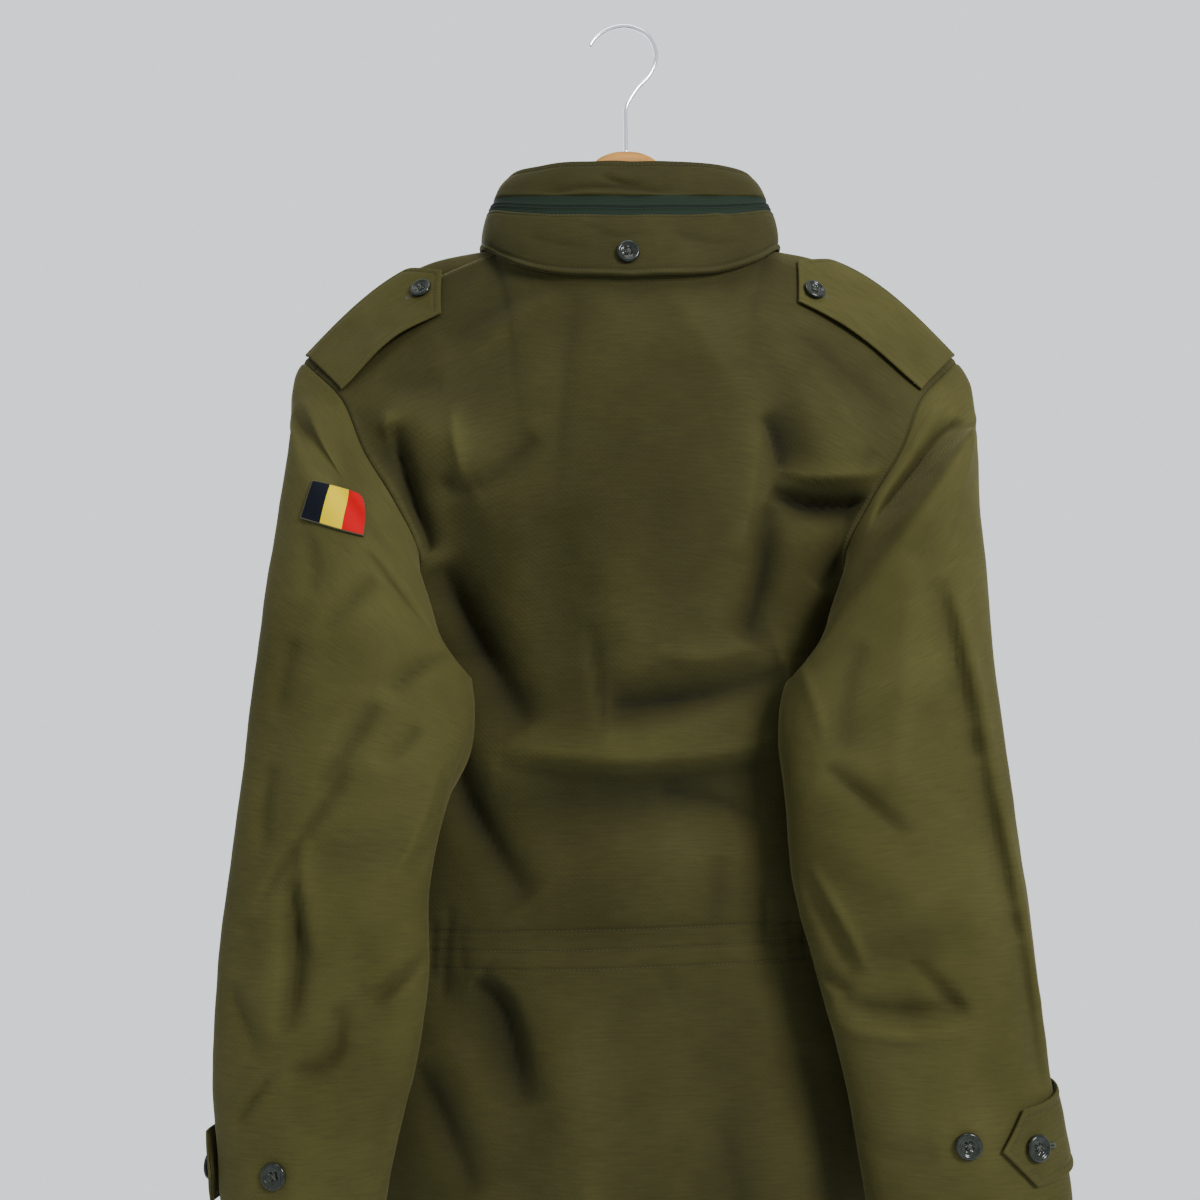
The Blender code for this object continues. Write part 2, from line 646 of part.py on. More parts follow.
def make_shell():
    """Back, fronts and sleeves, which meet point to point along their seams."""
    columns = half_columns()
    both = np.concatenate([-columns[:0:-1], columns])
    top_row = BODY_ROWS + FRONT_ARM_ROWS

    def below_neckline(i, j):
        return i >= NECK_COLUMNS or j < top_row

    surfaces = {"back": grid_surface(back_panel, both, back_levels())}
    for side, name in ((-1, "left"), (1, "right")):
        surfaces["front_" + name] = grid_surface(
            lambda u, v, side=side: front_panel(side, u, v),
            columns,
            front_levels(),
            flip=side > 0,
            keep=below_neckline,
        )
        surfaces["sleeve_" + name] = grid_surface(
            lambda u, v, side=side: sleeve(side, u, v),
            armhole_angles(),
            SLEEVE_STATIONS,
            ring=True,
            flip=side > 0,
        )
    body = ["back", "front_left", "front_right"]
    normals = dict(zip(body, point_normals([surfaces[name] for name in body])))
    for name in ("sleeve_left", "sleeve_right"):
        normals[name] = point_normals([surfaces[name]])[0]
    points = {name: surface[0] for name, surface in surfaces.items()}
    joined = {}
    for name in surfaces:
        joined[name] = normals[name]
        for other in surfaces:
            if (name in body) != (other in body):
                joined[name] = join_normals(points[name], joined[name], points[other], normals[other])
    return [wall(name, *surface, joined[name], CLOTH) for name, surface in surfaces.items()]


def make_collar():
    """Lower band, zip band and upper band, open at the front middle."""
    half = neck_angles()
    half[-1] = COLLAR_END_ANGLE
    angles = np.concatenate([-half[:0:-1], half])
    bands = (
        ("collar_lower", (0.0, 0.17, 0.35, 0.512), 0.0),
        ("collar_zip", (0.520, 0.672), 0.0012),
        ("collar_upper", (0.68, 0.76, 0.84, 0.92, 1.0), 0.0),
    )
    objects = []
    for name, heights, recess in bands:
        points, quads = grid_surface(collar, angles, heights)
        normals = point_normals([(points, quads)])[0]
        thickness = np.repeat(COLLAR("wall", np.array(heights)), len(angles)) - recess
        objects.append(wall(name, points - normals * recess, quads, normals, thickness))
    return objects


# ---------------------------------------------------------------- what lies on the shell
STRAP_END_COLUMN = 0.985
STRAP_DROP = 0.072  # from the strap's upper edge down the slope to its lower one
STRAP_START = {  # column where the strap's pointed end starts, from its upper to its lower edge
    -1: Table("across column", (0.0, 0.685), (0.35, 0.595), (1.0, 0.640)),
    1: Table("across column", (0.0, 0.625), (0.35, 0.525), (1.0, 0.560)),
}
STRAP_LIFT = {-1: 0.006, 1: 0.001}  # how far its lower edge stands off
STRAP_BUTTON = {-1: (0.165, 0.50), 1: (0.115, 0.74)}  # share of its length, share of its width
STRAP_ALONG = 9
STRAP_ACROSS = 5

# cuff tabs: round the sleeve in degrees, and along it in stations
TAB_BASE_ANGLE = {-1: 62, 1: 8}
TAB_CORNER_ANGLE = {-1: -4, 1: -58}
TAB_TIP_ANGLE = {-1: -20, 1: -76}
TAB_BASE_STATIONS = {-1: (7.55, 8.45), 1: (7.10, 8.00)}
TAB_END_STATIONS = {-1: (7.65, 8.55), 1: (7.30, 8.18)}
TAB_LIFT = {-1: 0.004, 1: 0.0006}
TAB_BUTTON = {-1: (4, 8.1), 1: (-54, 7.72)}
SPARE_BUTTON = {-1: (-78, 8.02), 1: (-93, 7.66)}
TAB_ALONG = 5
TAB_ACROSS = 4

PATCH_CORNERS = ((-0.2423, -0.4351), (-0.2020, -0.4459), (-0.2497, -0.4628), (-0.2019, -0.4766))
PATCH_COLUMNS = 5
PATCH_ROWS = 3

FLY_HALF_WIDTH = 0.032
FLY_TOP_LEVEL = 1 + FRONT_TURN - 0.05
FLY_COLUMNS = 4
FLY_ROWS = 17

HANGER = Table(
    "x top height half_thickness",
    (0.000, -0.1165, 0.075, 0.0085),
    (0.012, -0.1178, 0.074, 0.0085),
    (0.024, -0.1235, 0.070, 0.0083),
    (0.040, -0.1420, 0.056, 0.0078),
    (0.070, -0.1760, 0.036, 0.0070),
    (0.100, -0.2040, 0.026, 0.0062),
    (0.121, -0.2175, 0.025, 0.0058),
    (0.150, -0.2225, 0.025, 0.0056),
    (0.190, -0.2365, 0.024, 0.0056),
    (0.222, -0.2590, 0.023, 0.0055),
    (0.245, -0.2820, 0.021, 0.0052),
)
HANGER_SIDES = 10
WIRE_RADIUS = 0.0018
HOOK_ROUTE = Table(
    "step x z",
    (0, 0.0030, -0.1180),
    (1, 0.0030, -0.0960),
    (2, 0.0033, -0.0760),
    (3, 0.0120, -0.0590),
    (4, 0.0245, -0.0440),
    (5, 0.0300, -0.0260),
    (6, 0.0240, -0.0085),
    (7, 0.0120, -0.0003),
    (8, 0.0000, 0.0018),
    (9, -0.0125, -0.0015),
    (10, -0.0235, -0.0095),
    (11, -0.0290, -0.0180),
)


def grid_quads(across_count, along_count, flip):
    quads = []
    for j in range(along_count):
        for i in range(across_count):
            low = j * (across_count + 1) + i
            quad = (low, low + 1, low + across_count + 2, low + across_count + 1)
            quads.append(quad[::-1] if flip else quad)
    return quads


def shares(across_count, along_count):
    """Shares across and along for each point of a grid, row by row."""
    u, v = np.meshgrid(np.linspace(0, 1, across_count + 1), np.linspace(0, 1, along_count + 1))
    return u.ravel(), v.ravel()


def strap_grid(side):
    """Points of the shoulder under the strap: along it from its button end, row by row downwards."""
    rows = []
    for along, across in zip(*shares(STRAP_ALONG, STRAP_ACROSS)):
        start = np.interp(across, *STRAP_START[side].rows.T)
        column = start + (STRAP_END_COLUMN - start) * along
        rows.append(shoulder_cloth(side, column, 0.002 + STRAP_DROP * across))
    return np.array(rows)


def strap_gap(side, along, across):
    return 0.0012 + STRAP_LIFT[side] * across**2 * np.sin(math.pi * along) ** 2


def make_strap(side, name):
    points = strap_grid(side)
    quads = grid_quads(STRAP_ALONG, STRAP_ACROSS, flip=side > 0)
    gap = strap_gap(side, *shares(STRAP_ALONG, STRAP_ACROSS))
    return laid_on("strap_" + name, points, quads, STRAP_WALL, gap)


def tab_grid(side):
    """Places on the cuff under its tab: round the sleeve from the tab's root, row by row."""
    around, along = shares(TAB_ALONG, TAB_ACROSS)
    end_angle = TAB_CORNER_ANGLE[side] + (TAB_TIP_ANGLE[side] - TAB_CORNER_ANGLE[side]) * (
        1 - np.abs(2 * along - 1)
    )
    angle = TAB_BASE_ANGLE[side] + (end_angle - TAB_BASE_ANGLE[side]) * around
    base_low, base_high = TAB_BASE_STATIONS[side]
    end_low, end_high = TAB_END_STATIONS[side]
    low = base_low + (end_low - base_low) * around
    high = base_high + (end_high - base_high) * around
    return angle, low + (high - low) * along


def make_tab(side, name):
    points = sleeve(side, *tab_grid(side))
    quads = grid_quads(TAB_ALONG, TAB_ACROSS, flip=side < 0)
    around, _ = shares(TAB_ALONG, TAB_ACROSS)
    gap = 0.0008 + TAB_LIFT[side] * around**2
    return laid_on("cuff_tab_" + name, points, quads, TAB_WALL, gap)


def place_seen_at(function, x, z, u, v):
    """Newton's method for the place on a surface that lies at x and z, from a first guess."""
    step_u = 0.5
    step_v = 0.02
    for _ in range(12):
        here = function(np.array([u]), np.array([v]))[0]
        along_u = (function(np.array([u + step_u]), np.array([v]))[0] - here) / step_u
        along_v = (function(np.array([u]), np.array([v + step_v]))[0] - here) / step_v
        slopes = np.array([[along_u[0], along_v[0]], [along_u[2], along_v[2]]])
        change_u, change_v = np.linalg.solve(slopes, (x - here[0], z - here[2]))
        u += change_u
        v += change_v
    return u, v


def patch_places():
    """Places on the left sleeve under the flag patch, a slanted rectangle."""
    top_left, top_right, bottom_left, bottom_right = (np.array(corner) for corner in PATCH_CORNERS)
    places = []
    for across, down in zip(*shares(PATCH_COLUMNS, PATCH_ROWS)):
        top = top_left + (top_right - top_left) * across
        bottom = bottom_left + (bottom_right - bottom_left) * across
        x, z = top + (bottom - top) * down
        places.append(place_seen_at(lambda u, v: sleeve(-1, u, v), MIDDLE_X + x, z, -60.0, 1.6))
    return np.array(places).T


def make_patch():
    points = sleeve(-1, *patch_places())
    quads = grid_quads(PATCH_COLUMNS, PATCH_ROWS, flip=True)
    return laid_on("flag_patch", points, quads, PATCH_WALL, np.full(len(points), 0.0012))


def fly_surface(x, level):
    """The closed fronts under the fly, by the way across from the front middle."""
    side = np.where(x < 0, -1.0, 1.0)
    body_z = HEM_Z + (ARMPIT_Z - HEM_Z) * np.clip(level, 0, 1)
    middle_z = body_z + (FRONT_NECK_Z - ARMPIT_Z) * np.clip((level - 1) / FRONT_TURN, 0, 1)
    roundness = CENTRE("roundness", middle_z)
    edge_x = front_half(np.ones_like(level), level)[..., 0]
    column = np.abs(x) / edge_x / (1 - roundness + roundness * math.pi / 2)
    points = front_panel(1, column, level)
    points[..., 0] = MIDDLE_X + side * (points[..., 0] - MIDDLE_X)
    return points


def make_fly():
    across = np.linspace(-FLY_HALF_WIDTH, FLY_HALF_WIDTH, FLY_COLUMNS + 1)
    points, quads = grid_surface(fly_surface, across, np.linspace(0.004, FLY_TOP_LEVEL, FLY_ROWS + 1), flip=True)
    return laid_on("front_fly", points, quads, FLY_WALL, np.full(len(points), 0.0008))


def make_button(name, point, normal, gap=0.0006):
    """A turned disc with a raised rim and a dished middle."""
    radius = BUTTON_DIAMETER / 2
    top = BUTTON_THICKNESS
    profile = (
        (0.0, 0.0),
        (radius * 0.80, 0.0),
        (radius, top * 0.45),
        (radius * 0.96, top * 0.85),
        (radius * 0.86, top),
        (radius * 0.68, top * 0.72),
        (0.0, top * 0.66),
    )
    bm = bmesh.new()
    verts = [bm.verts.new((x, 0, z)) for x, z in profile]
    for low, high in zip(verts, verts[1:]):
        bm.edges.new((low, high))
    bmesh.ops.spin(
        bm,
        geom=bm.verts[:] + bm.edges[:],
        axis=(0, 0, 1),
        cent=(0, 0, 0),
        steps=14,
        angle=2 * math.pi,
        use_merge=True,
    )
    bmesh.ops.remove_doubles(bm, verts=bm.verts, dist=0.00005)
    bmesh.ops.recalc_face_normals(bm, faces=bm.faces)
    obj = add_mesh(name, bm)
    turn = Vector((0, 0, 1)).rotation_difference(Vector(normal)).to_matrix().to_4x4()
    obj.matrix_world = Matrix.Translation(Vector(point) + Vector(normal) * gap) @ turn
    return obj


def surface_frame(function, u, v, outward):
    """A point of a surface function and its normal on the side of the outward direction."""
    step_u = 1.0
    step_v = 0.05
    low = function(np.array([u - step_u]), np.array([v]))[0]
    high = function(np.array([u + step_u]), np.array([v]))[0]
    near = function(np.array([u]), np.array([v - step_v]))[0]
    far = function(np.array([u]), np.array([v + step_v]))[0]
    normal = np.cross(high - low, far - near)
    normal /= np.linalg.norm(normal)
    if np.dot(normal, outward) < 0:
        normal = -normal
    return function(np.array([u]), np.array([v]))[0], normal


def make_collar_button():
    point, normal = surface_frame(collar, COLLAR_BUTTON_ANGLE, COLLAR_BUTTON_HEIGHT, (0, -1, 0))
    return make_button("button_collar", point, normal)


def make_strap_button(side, name):
    points = strap_grid(side)
    quads = grid_quads(STRAP_ALONG, STRAP_ACROSS, flip=side > 0)
    normals = point_normals([(points, quads)])[0]
    along, across = shares(STRAP_ALONG, STRAP_ACROSS)
    top = points + normals * (strap_gap(side, along, across) + STRAP_WALL)[:, None]
    share_along, share_across = STRAP_BUTTON[side]
    nearness = np.exp(-(((along - share_along) / 0.10) ** 2) - ((across - share_across) / 0.16) ** 2)
    nearness /= nearness.sum()
    normal = (normals * nearness[:, None]).sum(axis=0)
    normal /= np.linalg.norm(normal)
    point = (top * nearness[:, None]).sum(axis=0)
    return make_button("button_strap_" + name, point, normal, gap=0.0008)


def make_cuff_buttons(side, name):
    def surface(u, v):
        return sleeve(side, u, v)

    angle, station = TAB_BUTTON[side]
    point, normal = surface_frame(surface, angle, station, (side, -1, 0))
    around = (TAB_BASE_ANGLE[side] - angle) / (TAB_BASE_ANGLE[side] - TAB_TIP_ANGLE[side])
    rise = 0.0008 + TAB_LIFT[side] * around**2 + TAB_WALL + 0.0008
    tab = make_button(f"button_cuff_{name}_tab", point, normal, gap=rise)
    point, normal = surface_frame(surface, *SPARE_BUTTON[side], (0, -1, 0))
    return tab, make_button(f"button_cuff_{name}_spare", point, normal)


# ---------------------------------------------------------------- the hanger
def hanger_surface(angle, x):
    reach = np.abs(x)
    height = HANGER("height", reach)
    y = HANGER("half_thickness", reach) * np.cos(np.radians(angle))
    z = HANGER("top", reach) - height / 2 + height / 2 * np.sin(np.radians(angle))
    return np.stack([MIDDLE_X / 2 + x, y, z], axis=-1)


def make_hanger_wood():
    """One bent piece of wood: oval sections that follow the shoulder line from inside."""
    half = np.array([0.0, 0.012, 0.024, 0.040, 0.055, 0.070, 0.085, 0.100, 0.121, 0.150, 0.175, 0.2, 0.222, 0.245])
    stations = np.concatenate([-half[:0:-1], half])
    angles = np.linspace(0, 360, HANGER_SIDES, endpoint=False)
    points, quads = grid_surface(hanger_surface, angles, stations, ring=True)
    bm = bmesh.new()
    verts = [bm.verts.new(point) for point in points]
    for quad in quads:
        bm.faces.new([verts[corner] for corner in quad])
    bm.faces.new(verts[:HANGER_SIDES])
    bm.faces.new(verts[-HANGER_SIDES:])
    bmesh.ops.recalc_face_normals(bm, faces=bm.faces)
    return add_mesh("hanger_wood", bm)


def make_hanger_hook():
    """Bent wire, from the wood up and round the place that holds it."""
    steps = np.linspace(0, HOOK_ROUTE.rows[-1, 0], 34)
    curve = bpy.data.curves.new("hanger_hook", "CURVE")
    curve.dimensions = "3D"
    curve.bevel_depth = WIRE_RADIUS
    curve.bevel_resolution = 2
    curve.use_fill_caps = True
    route = curve.splines.new("POLY")
    route.points.add(len(steps) - 1)
    for point, x, z in zip(route.points, HOOK_ROUTE("x", steps), HOOK_ROUTE("z", steps)):
        point.co = (x, 0, z, 1)
    obj = bpy.data.objects.new("hanger_hook", curve)
    bpy.data.collections["field_jacket"].objects.link(obj)
    return obj


def make_objects():
    cloth = make_material("olive_cloth", (0.105, 0.092, 0.035), 0.85)
    tape = make_material("zip_tape", (0.018, 0.036, 0.024), 0.8)
    plastic = make_material("button_plastic", (0.022, 0.027, 0.020), 0.25)
    woven = make_material("woven_patch", (0.55, 0.42, 0.02), 0.8)
    beech = make_material("beech", (0.75, 0.52, 0.28), 0.5)
    chrome = make_material("chromed_wire", (0.62, 0.62, 0.62), 0.15, metallic=1.0)
    give(cloth, *make_shell(), make_fly())
    lower, zip_band, upper = make_collar()
    give(cloth, lower, upper)
    give(tape, zip_band)
    give(plastic, make_collar_button())
    for side, name in ((-1, "left"), (1, "right")):
        give(cloth, make_strap(side, name), make_tab(side, name))
        give(plastic, make_strap_button(side, name), *make_cuff_buttons(side, name))
    give(woven, make_patch())
    give(beech, make_hanger_wood())
    give(chrome, make_hanger_hook())


def main():
    for obj in list(bpy.data.objects):
        bpy.data.objects.remove(obj, do_unlink=True)
    collection = bpy.data.collections.new("field_jacket")
    bpy.context.scene.collection.children.link(collection)
    make_objects()


main()
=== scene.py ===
"""Field jacket on a wooden coat hanger, dressed: creased twill, stitching, zip, buttons, flag.

Metres, +Z up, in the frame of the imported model.  The back of the jacket faces -Y.  Every cloth
piece is a thin shell on the form of its solid, worked out again from the cut on a finer grid.
"""

import math
from functools import partial

import bmesh
import bpy
import numpy as np
from bpy.props import FloatProperty, FloatVectorProperty, PointerProperty
from mathutils import Matrix, Vector, noise


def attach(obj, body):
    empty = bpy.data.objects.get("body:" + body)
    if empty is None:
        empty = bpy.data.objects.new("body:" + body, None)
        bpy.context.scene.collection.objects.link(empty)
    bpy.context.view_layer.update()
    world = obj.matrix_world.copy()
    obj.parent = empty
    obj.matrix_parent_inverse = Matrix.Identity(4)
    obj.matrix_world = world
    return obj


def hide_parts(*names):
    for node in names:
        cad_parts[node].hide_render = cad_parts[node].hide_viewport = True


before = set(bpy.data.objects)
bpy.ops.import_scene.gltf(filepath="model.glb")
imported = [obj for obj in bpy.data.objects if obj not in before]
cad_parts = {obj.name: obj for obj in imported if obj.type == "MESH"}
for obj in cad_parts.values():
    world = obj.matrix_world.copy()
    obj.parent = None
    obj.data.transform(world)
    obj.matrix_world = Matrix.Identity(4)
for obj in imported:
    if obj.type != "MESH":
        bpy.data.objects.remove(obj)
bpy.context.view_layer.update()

bl_info = {
    "name": "Field jacket",
    "version": (1, 0, 0),
    "blender": (4, 5, 0),
    "location": "3D view > Sidebar > Field jacket",
    "description": "Dresses the field jacket and its hanger, and sets the studio round them",
    "category": "Object",
}


def linear(hex_colour):
    """An sRGB hex colour as linear red, green and blue."""
    channels = [int(hex_colour[i : i + 2], 16) / 255 for i in (1, 3, 5)]
    return tuple(c / 12.92 if c <= 0.04045 else ((c + 0.055) / 1.055) ** 2.4 for c in channels)


# ---------------------------------------------------------------- sizes of the cut
MIDDLE_X = 0.006  # the jacket hangs a little to the right of the hook
CLOTH = 0.0018  # twill with its seam allowances
TORSO_CLEARANCE = 0.0045
HEAD_BULGE = {-1: 0.003, 1: 0.008}
UNDERARM_DIP = 0.050
UNDERARM_SPREAD = 0.020
SPREAD_LIMIT = 1.3
SPREAD_FADE = (3, 5)
SLEEVE_FREE_Z = (-0.515, -0.470)  # heights over which the sleeve parts from the torso

HEM_Z = -1.045
ARMPIT_Z = -0.562
BACK_NECK_Z = -0.2585
FRONT_NECK_Z = -0.290
NECK_HALF_WIDTH = 0.121
NECK_HALF_DEPTH = 0.068
NECK_SQUARENESS = 0.85
NECK_COLUMN = 0.43
SEAM_ARM_ANGLE = -24
FRONT_ARM_ANGLE = 27
SEAM_NECK_ANGLE = 68
FRONT_NECK_ANGLE = 112
FRONT_TURN = (180 - FRONT_ARM_ANGLE) / (180 - SEAM_ARM_ANGLE)
RIDGE_BULGE = 0.026
SEAM_BULGE = 0.019
FRONT_BULGE = 0.020
BACK_LEAN = 0.010
FRONT_LEAN = -0.012
TURN_LEVEL = 1 + FRONT_TURN  # where the front turns over the shoulder
BACK_TOP_LEVEL = 1.25  # from here up, the panels bend towards their upper edges
FRONT_TOP_LEVEL = 1.15

BUTTON_DIAMETER = 0.0185
BUTTON_THICKNESS = 0.0032
BUTTON_TURN = 12
THREAD_HOLE_PLACE = 0.00185  # from the button's middle, both ways
THREAD_HOLE_RADIUS = 0.00105
THREAD_HOLE_DEPTH = 0.0012
BUTTON_PROFILE = (  # shares of the radius and of the thickness, from the dished middle out
    (0.56, 0.62),
    (0.62, 0.66),
    (0.68, 0.80),
    (0.74, 0.97),
    (0.82, 1.02),
    (0.90, 0.98),
    (0.97, 0.82),
    (1.00, 0.55),
    (0.97, 0.30),
    (0.86, 0.08),
    (0.80, 0.00),
    (0.00, 0.00),
)
HOLE_HALF_LENGTH = 0.0105  # of a buttonhole
HOLE_HALF_WIDTH = 0.0011
HOLE_SHIFT = 0.0035  # how far the buttonhole shows from under its button
HOLE_STITCH_PITCH = 0.0008
COLLAR_GAP = 0.0003
COLLAR_LAP = 0.0038
NECK_TURN_UP = 0.0040  # how far the neck edge turns out, to meet the collar
COLLAR_END_ANGLE = 179.93
COLLAR_BUTTON = (-0.7, 0.19)  # angle, height

STRAP_WALL = 0.0026
STRAP_END_COLUMN = 0.985
STRAP_TOP = 0.002  # down from the shoulder's ridge
STRAP_DROP = 0.072
STRAP_GAP = 0.0012
STRAP_LIFT = {-1: 0.006, 1: 0.001}
STRAP_BUTTON = {-1: (0.165, 0.50), 1: (0.115, 0.74)}
TAB_WALL = 0.0024
TAB_BASE_ANGLE = {-1: 62, 1: 8}
TAB_CORNER_ANGLE = {-1: -4, 1: -58}
TAB_TIP_ANGLE = {-1: -20, 1: -76}
TAB_BASE_STATIONS = {-1: (7.55, 8.45), 1: (7.10, 8.00)}
TAB_END_STATIONS = {-1: (7.65, 8.55), 1: (7.30, 8.18)}
TAB_GAP = 0.0008
TAB_LIFT = {-1: 0.004, 1: 0.0006}
TAB_BUTTON = {-1: (4, 8.1), 1: (-54, 7.72)}
SPARE_BUTTON = {-1: (-78, 8.02), 1: (-93, 7.66)}
PATCH_CORNERS = ((-0.2395, -0.4375), (-0.2014, -0.4483), (-0.2470, -0.4653), (-0.2014, -0.4792))
PATCH_SIDE = -1
PATCH_MIDDLE = (0.2236, -0.4578)
PATCH_REACH = 0.032  # how far round it the sleeve has no creases
PATCH_SIZE = (0.053, 0.037)
PATCH_CORNER = (0.80, 0.28)  # shares of its width and height where the rounded corner starts
PATCH_GUESS = (-60.0, 1.6)  # about which angle and station of the sleeve it lies at
PATCH_Y = -0.110  # about where the patch lies behind the jacket
PATCH_WALL = 0.0012
FLY_HALF_WIDTH = 0.032
FLY_TOP_LEVEL = TURN_LEVEL - 0.05
FLY_WALL = 0.0024

WAIST_Z = -0.7838  # the drawcord channel's middle stitch row, which climbs a little to the right
WAIST_SLOPE = 0.033
WAIST_ROWS = (0.0145, 0.0, -0.0135)
HEM_DEPTH = 0.022
SLEEVE_CREASES = 1.35  # how much deeper the sleeves crease than their tables say
EDGE_STITCH = 0.006  # from an edge to its row of stitches
SEAM_STITCH = 0.0035
PIPING_STITCH = 0.0058
ZIP_STITCH = 0.0030
TOP_STITCH = 0.0065
STITCH_PITCH = 0.0032
STITCH_LENGTH = 0.0025
ARM_ROUND = 0.2402  # where the hanger's arms start to round off
HOOK_ROUND = 10.85  # step of the hook's route where its tip does
HOLLOW_REACH = 9  # grid steps each way that make up the cloth around a point
FLAPS = {  # wall, how far its free end slants, then its unevenness: size, height and inset
    "strap": (STRAP_WALL, 0.93, 0.024, 0.0014, 0.014),
    "cuff_tab": (TAB_WALL, 0.86, 0.018, 0.0007, 0.010),
}

BODY_SPANS = ((0, 0.010, 4), (0.010, 0.482, 58), (0.482, 0.598, 42), (0.598, 1, 50))
HALF_SPANS = ((0, NECK_COLUMN, 28), (NECK_COLUMN, 0.965, 34), (0.965, 1, 6))

SIDE_NAMES = ((-1, "left"), (1, "right"))
EYE = np.array((-0.0195, -1.01, -0.653))  # the camera's place


# ---------------------------------------------------------------- curves and tables
def spline(knots, values, at):
    """Smooth curve through values at the knots, read at any place between them."""
    slopes = np.gradient(values, knots)
    at = np.clip(at, knots[0], knots[-1])
    i = np.clip(np.searchsorted(knots, at, side="right") - 1, 0, len(knots) - 2)
    span = knots[i + 1] - knots[i]
    s = (at - knots[i]) / span
    start = (1 + 2 * s) * (1 - s) ** 2 * values[i] + s * (1 - s) ** 2 * span * slopes[i]
    end = s * s * (3 - 2 * s) * values[i + 1] + s * s * (s - 1) * span * slopes[i + 1]
    return start + end


class Table:
    """A short table with named columns; each column reads as a smooth curve of the first."""

    def __init__(self, names, *rows):
        self.names = names.split()
        self.rows = np.array(rows, dtype=float)

    def __call__(self, name, at):
        values = self.rows[:, self.names.index(name)]
        return spline(self.rows[:, 0], values, np.asarray(at, dtype=float))


CENTRE = Table(
    "z back_y front_y roundness",
    (-1.045, -0.070, 0.105, 0.85),
    (-0.900, -0.066, 0.101, 0.85),
    (-0.785, -0.058, 0.094, 0.85),
    (-0.650, -0.067, 0.104, 0.80),
    (-0.562, -0.075, 0.107, 0.70),
    (-0.450, -0.086, 0.101, 0.30),
    (-0.360, -0.089, 0.089, 0.05),
    (-0.300, -0.080, 0.071, 0.00),
    (-0.262, -0.068, 0.062, 0.00),
)
SIDE = Table(
    "z half_width edge_y",
    (-1.045, 0.222, 0.015),
    (-0.900, 0.214, 0.018),
    (-0.785, 0.206, 0.020),
    (-0.650, 0.211, 0.021),
    (-0.562, 0.203, 0.022),
)
# round the armhole: 0 on the shoulder, 90 in front, 180 in the armpit, 270 behind
ARMHOLE_TURN = (
    (-24, 0.263, -0.022, -0.323),
    (0, 0.277, 0.000, -0.309),
    (27, 0.270, 0.028, -0.328),
    (60, 0.240, 0.062, -0.385),
    (100, 0.210, 0.084, -0.455),
    (140, 0.200, 0.070, -0.525),
    (180, 0.203, 0.022, -0.562),
    (212, 0.179, -0.031, -0.530),
    (240, 0.169, -0.056, -0.480),
    (262, 0.187, -0.060, -0.442),
    (288, 0.213, -0.056, -0.400),
    (314, 0.235, -0.044, -0.353),
)
ARMHOLE = Table(
    "angle x y z",
    *((angle + turn, x, y, z) for turn in (-360, 0, 360) for angle, x, y, z in ARMHOLE_TURN),
)
# round the neckline: 0 behind, 90 at the side, 180 in front
NECKLINE = Table(
    "angle z",
    (0, BACK_NECK_Z),
    (30, -0.2530),
    (50, -0.2390),
    (70, -0.221),
    (90, -0.211),
    (115, -0.228),
    (140, -0.260),
    (160, -0.281),
    (180, FRONT_NECK_Z),
)
SLEEVE = Table(
    "station z y half_depth tilt front_drop outer_left inner_left outer_right inner_right",
    (2, -0.5000, -0.068, 0.053, 48, 0.117, 0.271, 0.123, 0.268, 0.116),
    (3, -0.5780, -0.080, 0.047, 26, 0.078, 0.282, 0.121, 0.270, 0.109),
    (4, -0.6520, -0.084, 0.043, 12, 0.039, 0.289, 0.139, 0.276, 0.112),
    (5, -0.7300, -0.085, 0.041, 4, 0.013, 0.297, 0.150, 0.285, 0.117),
    (6, -0.8000, -0.084, 0.039, 0, 0.000, 0.303, 0.150, 0.292, 0.133),
    (7, -0.8650, -0.083, 0.037, 0, 0.000, 0.304, 0.159, 0.298, 0.149),
    (8, -0.9250, -0.081, 0.036, 0, 0.000, 0.298, 0.173, 0.308, 0.160),
    (9, -0.9780, -0.080, 0.035, 0, 0.000, 0.293, 0.181, 0.313, 0.167),
)
COLLAR = Table(
    "height half_width half_depth wall",
    (0.00, 0.1275, 0.0765, 0.0048),
    (0.25, 0.1270, 0.0755, 0.0048),
    (0.52, 0.1230, 0.0725, 0.0048),
    (0.68, 0.1185, 0.0705, 0.0050),
    (0.85, 0.1130, 0.0695, 0.0062),
    (1.00, 0.1040, 0.0640, 0.0056),
)
COLLAR_TOP = Table(
    "angle z",
    (0, -0.158),
    (40, -0.154),
    (90, -0.148),
    (140, -0.160),
    (180, -0.184),
)
STRAP_START = {  # column where the strap's pointed end starts, from its upper to its lower edge
    -1: Table("across column", (0.0, 0.685), (0.35, 0.595), (1.0, 0.640)),
    1: Table("across column", (0.0, 0.625), (0.35, 0.525), (1.0, 0.560)),
}
HANGER = Table(
    "x top height half_thickness",
    (0.000, -0.1165, 0.075, 0.0085),
    (0.012, -0.1178, 0.074, 0.0085),
    (0.024, -0.1235, 0.070, 0.0083),
    (0.040, -0.1420, 0.056, 0.0078),
    (0.070, -0.1760, 0.036, 0.0070),
    (0.100, -0.2040, 0.026, 0.0062),
    (0.121, -0.2175, 0.025, 0.0058),
    (0.150, -0.2225, 0.025, 0.0056),
    (0.190, -0.2365, 0.024, 0.0056),
    (0.222, -0.2590, 0.023, 0.0055),
    (0.245, -0.2820, 0.021, 0.0052),
)
WIRE_RADIUS = 0.0018
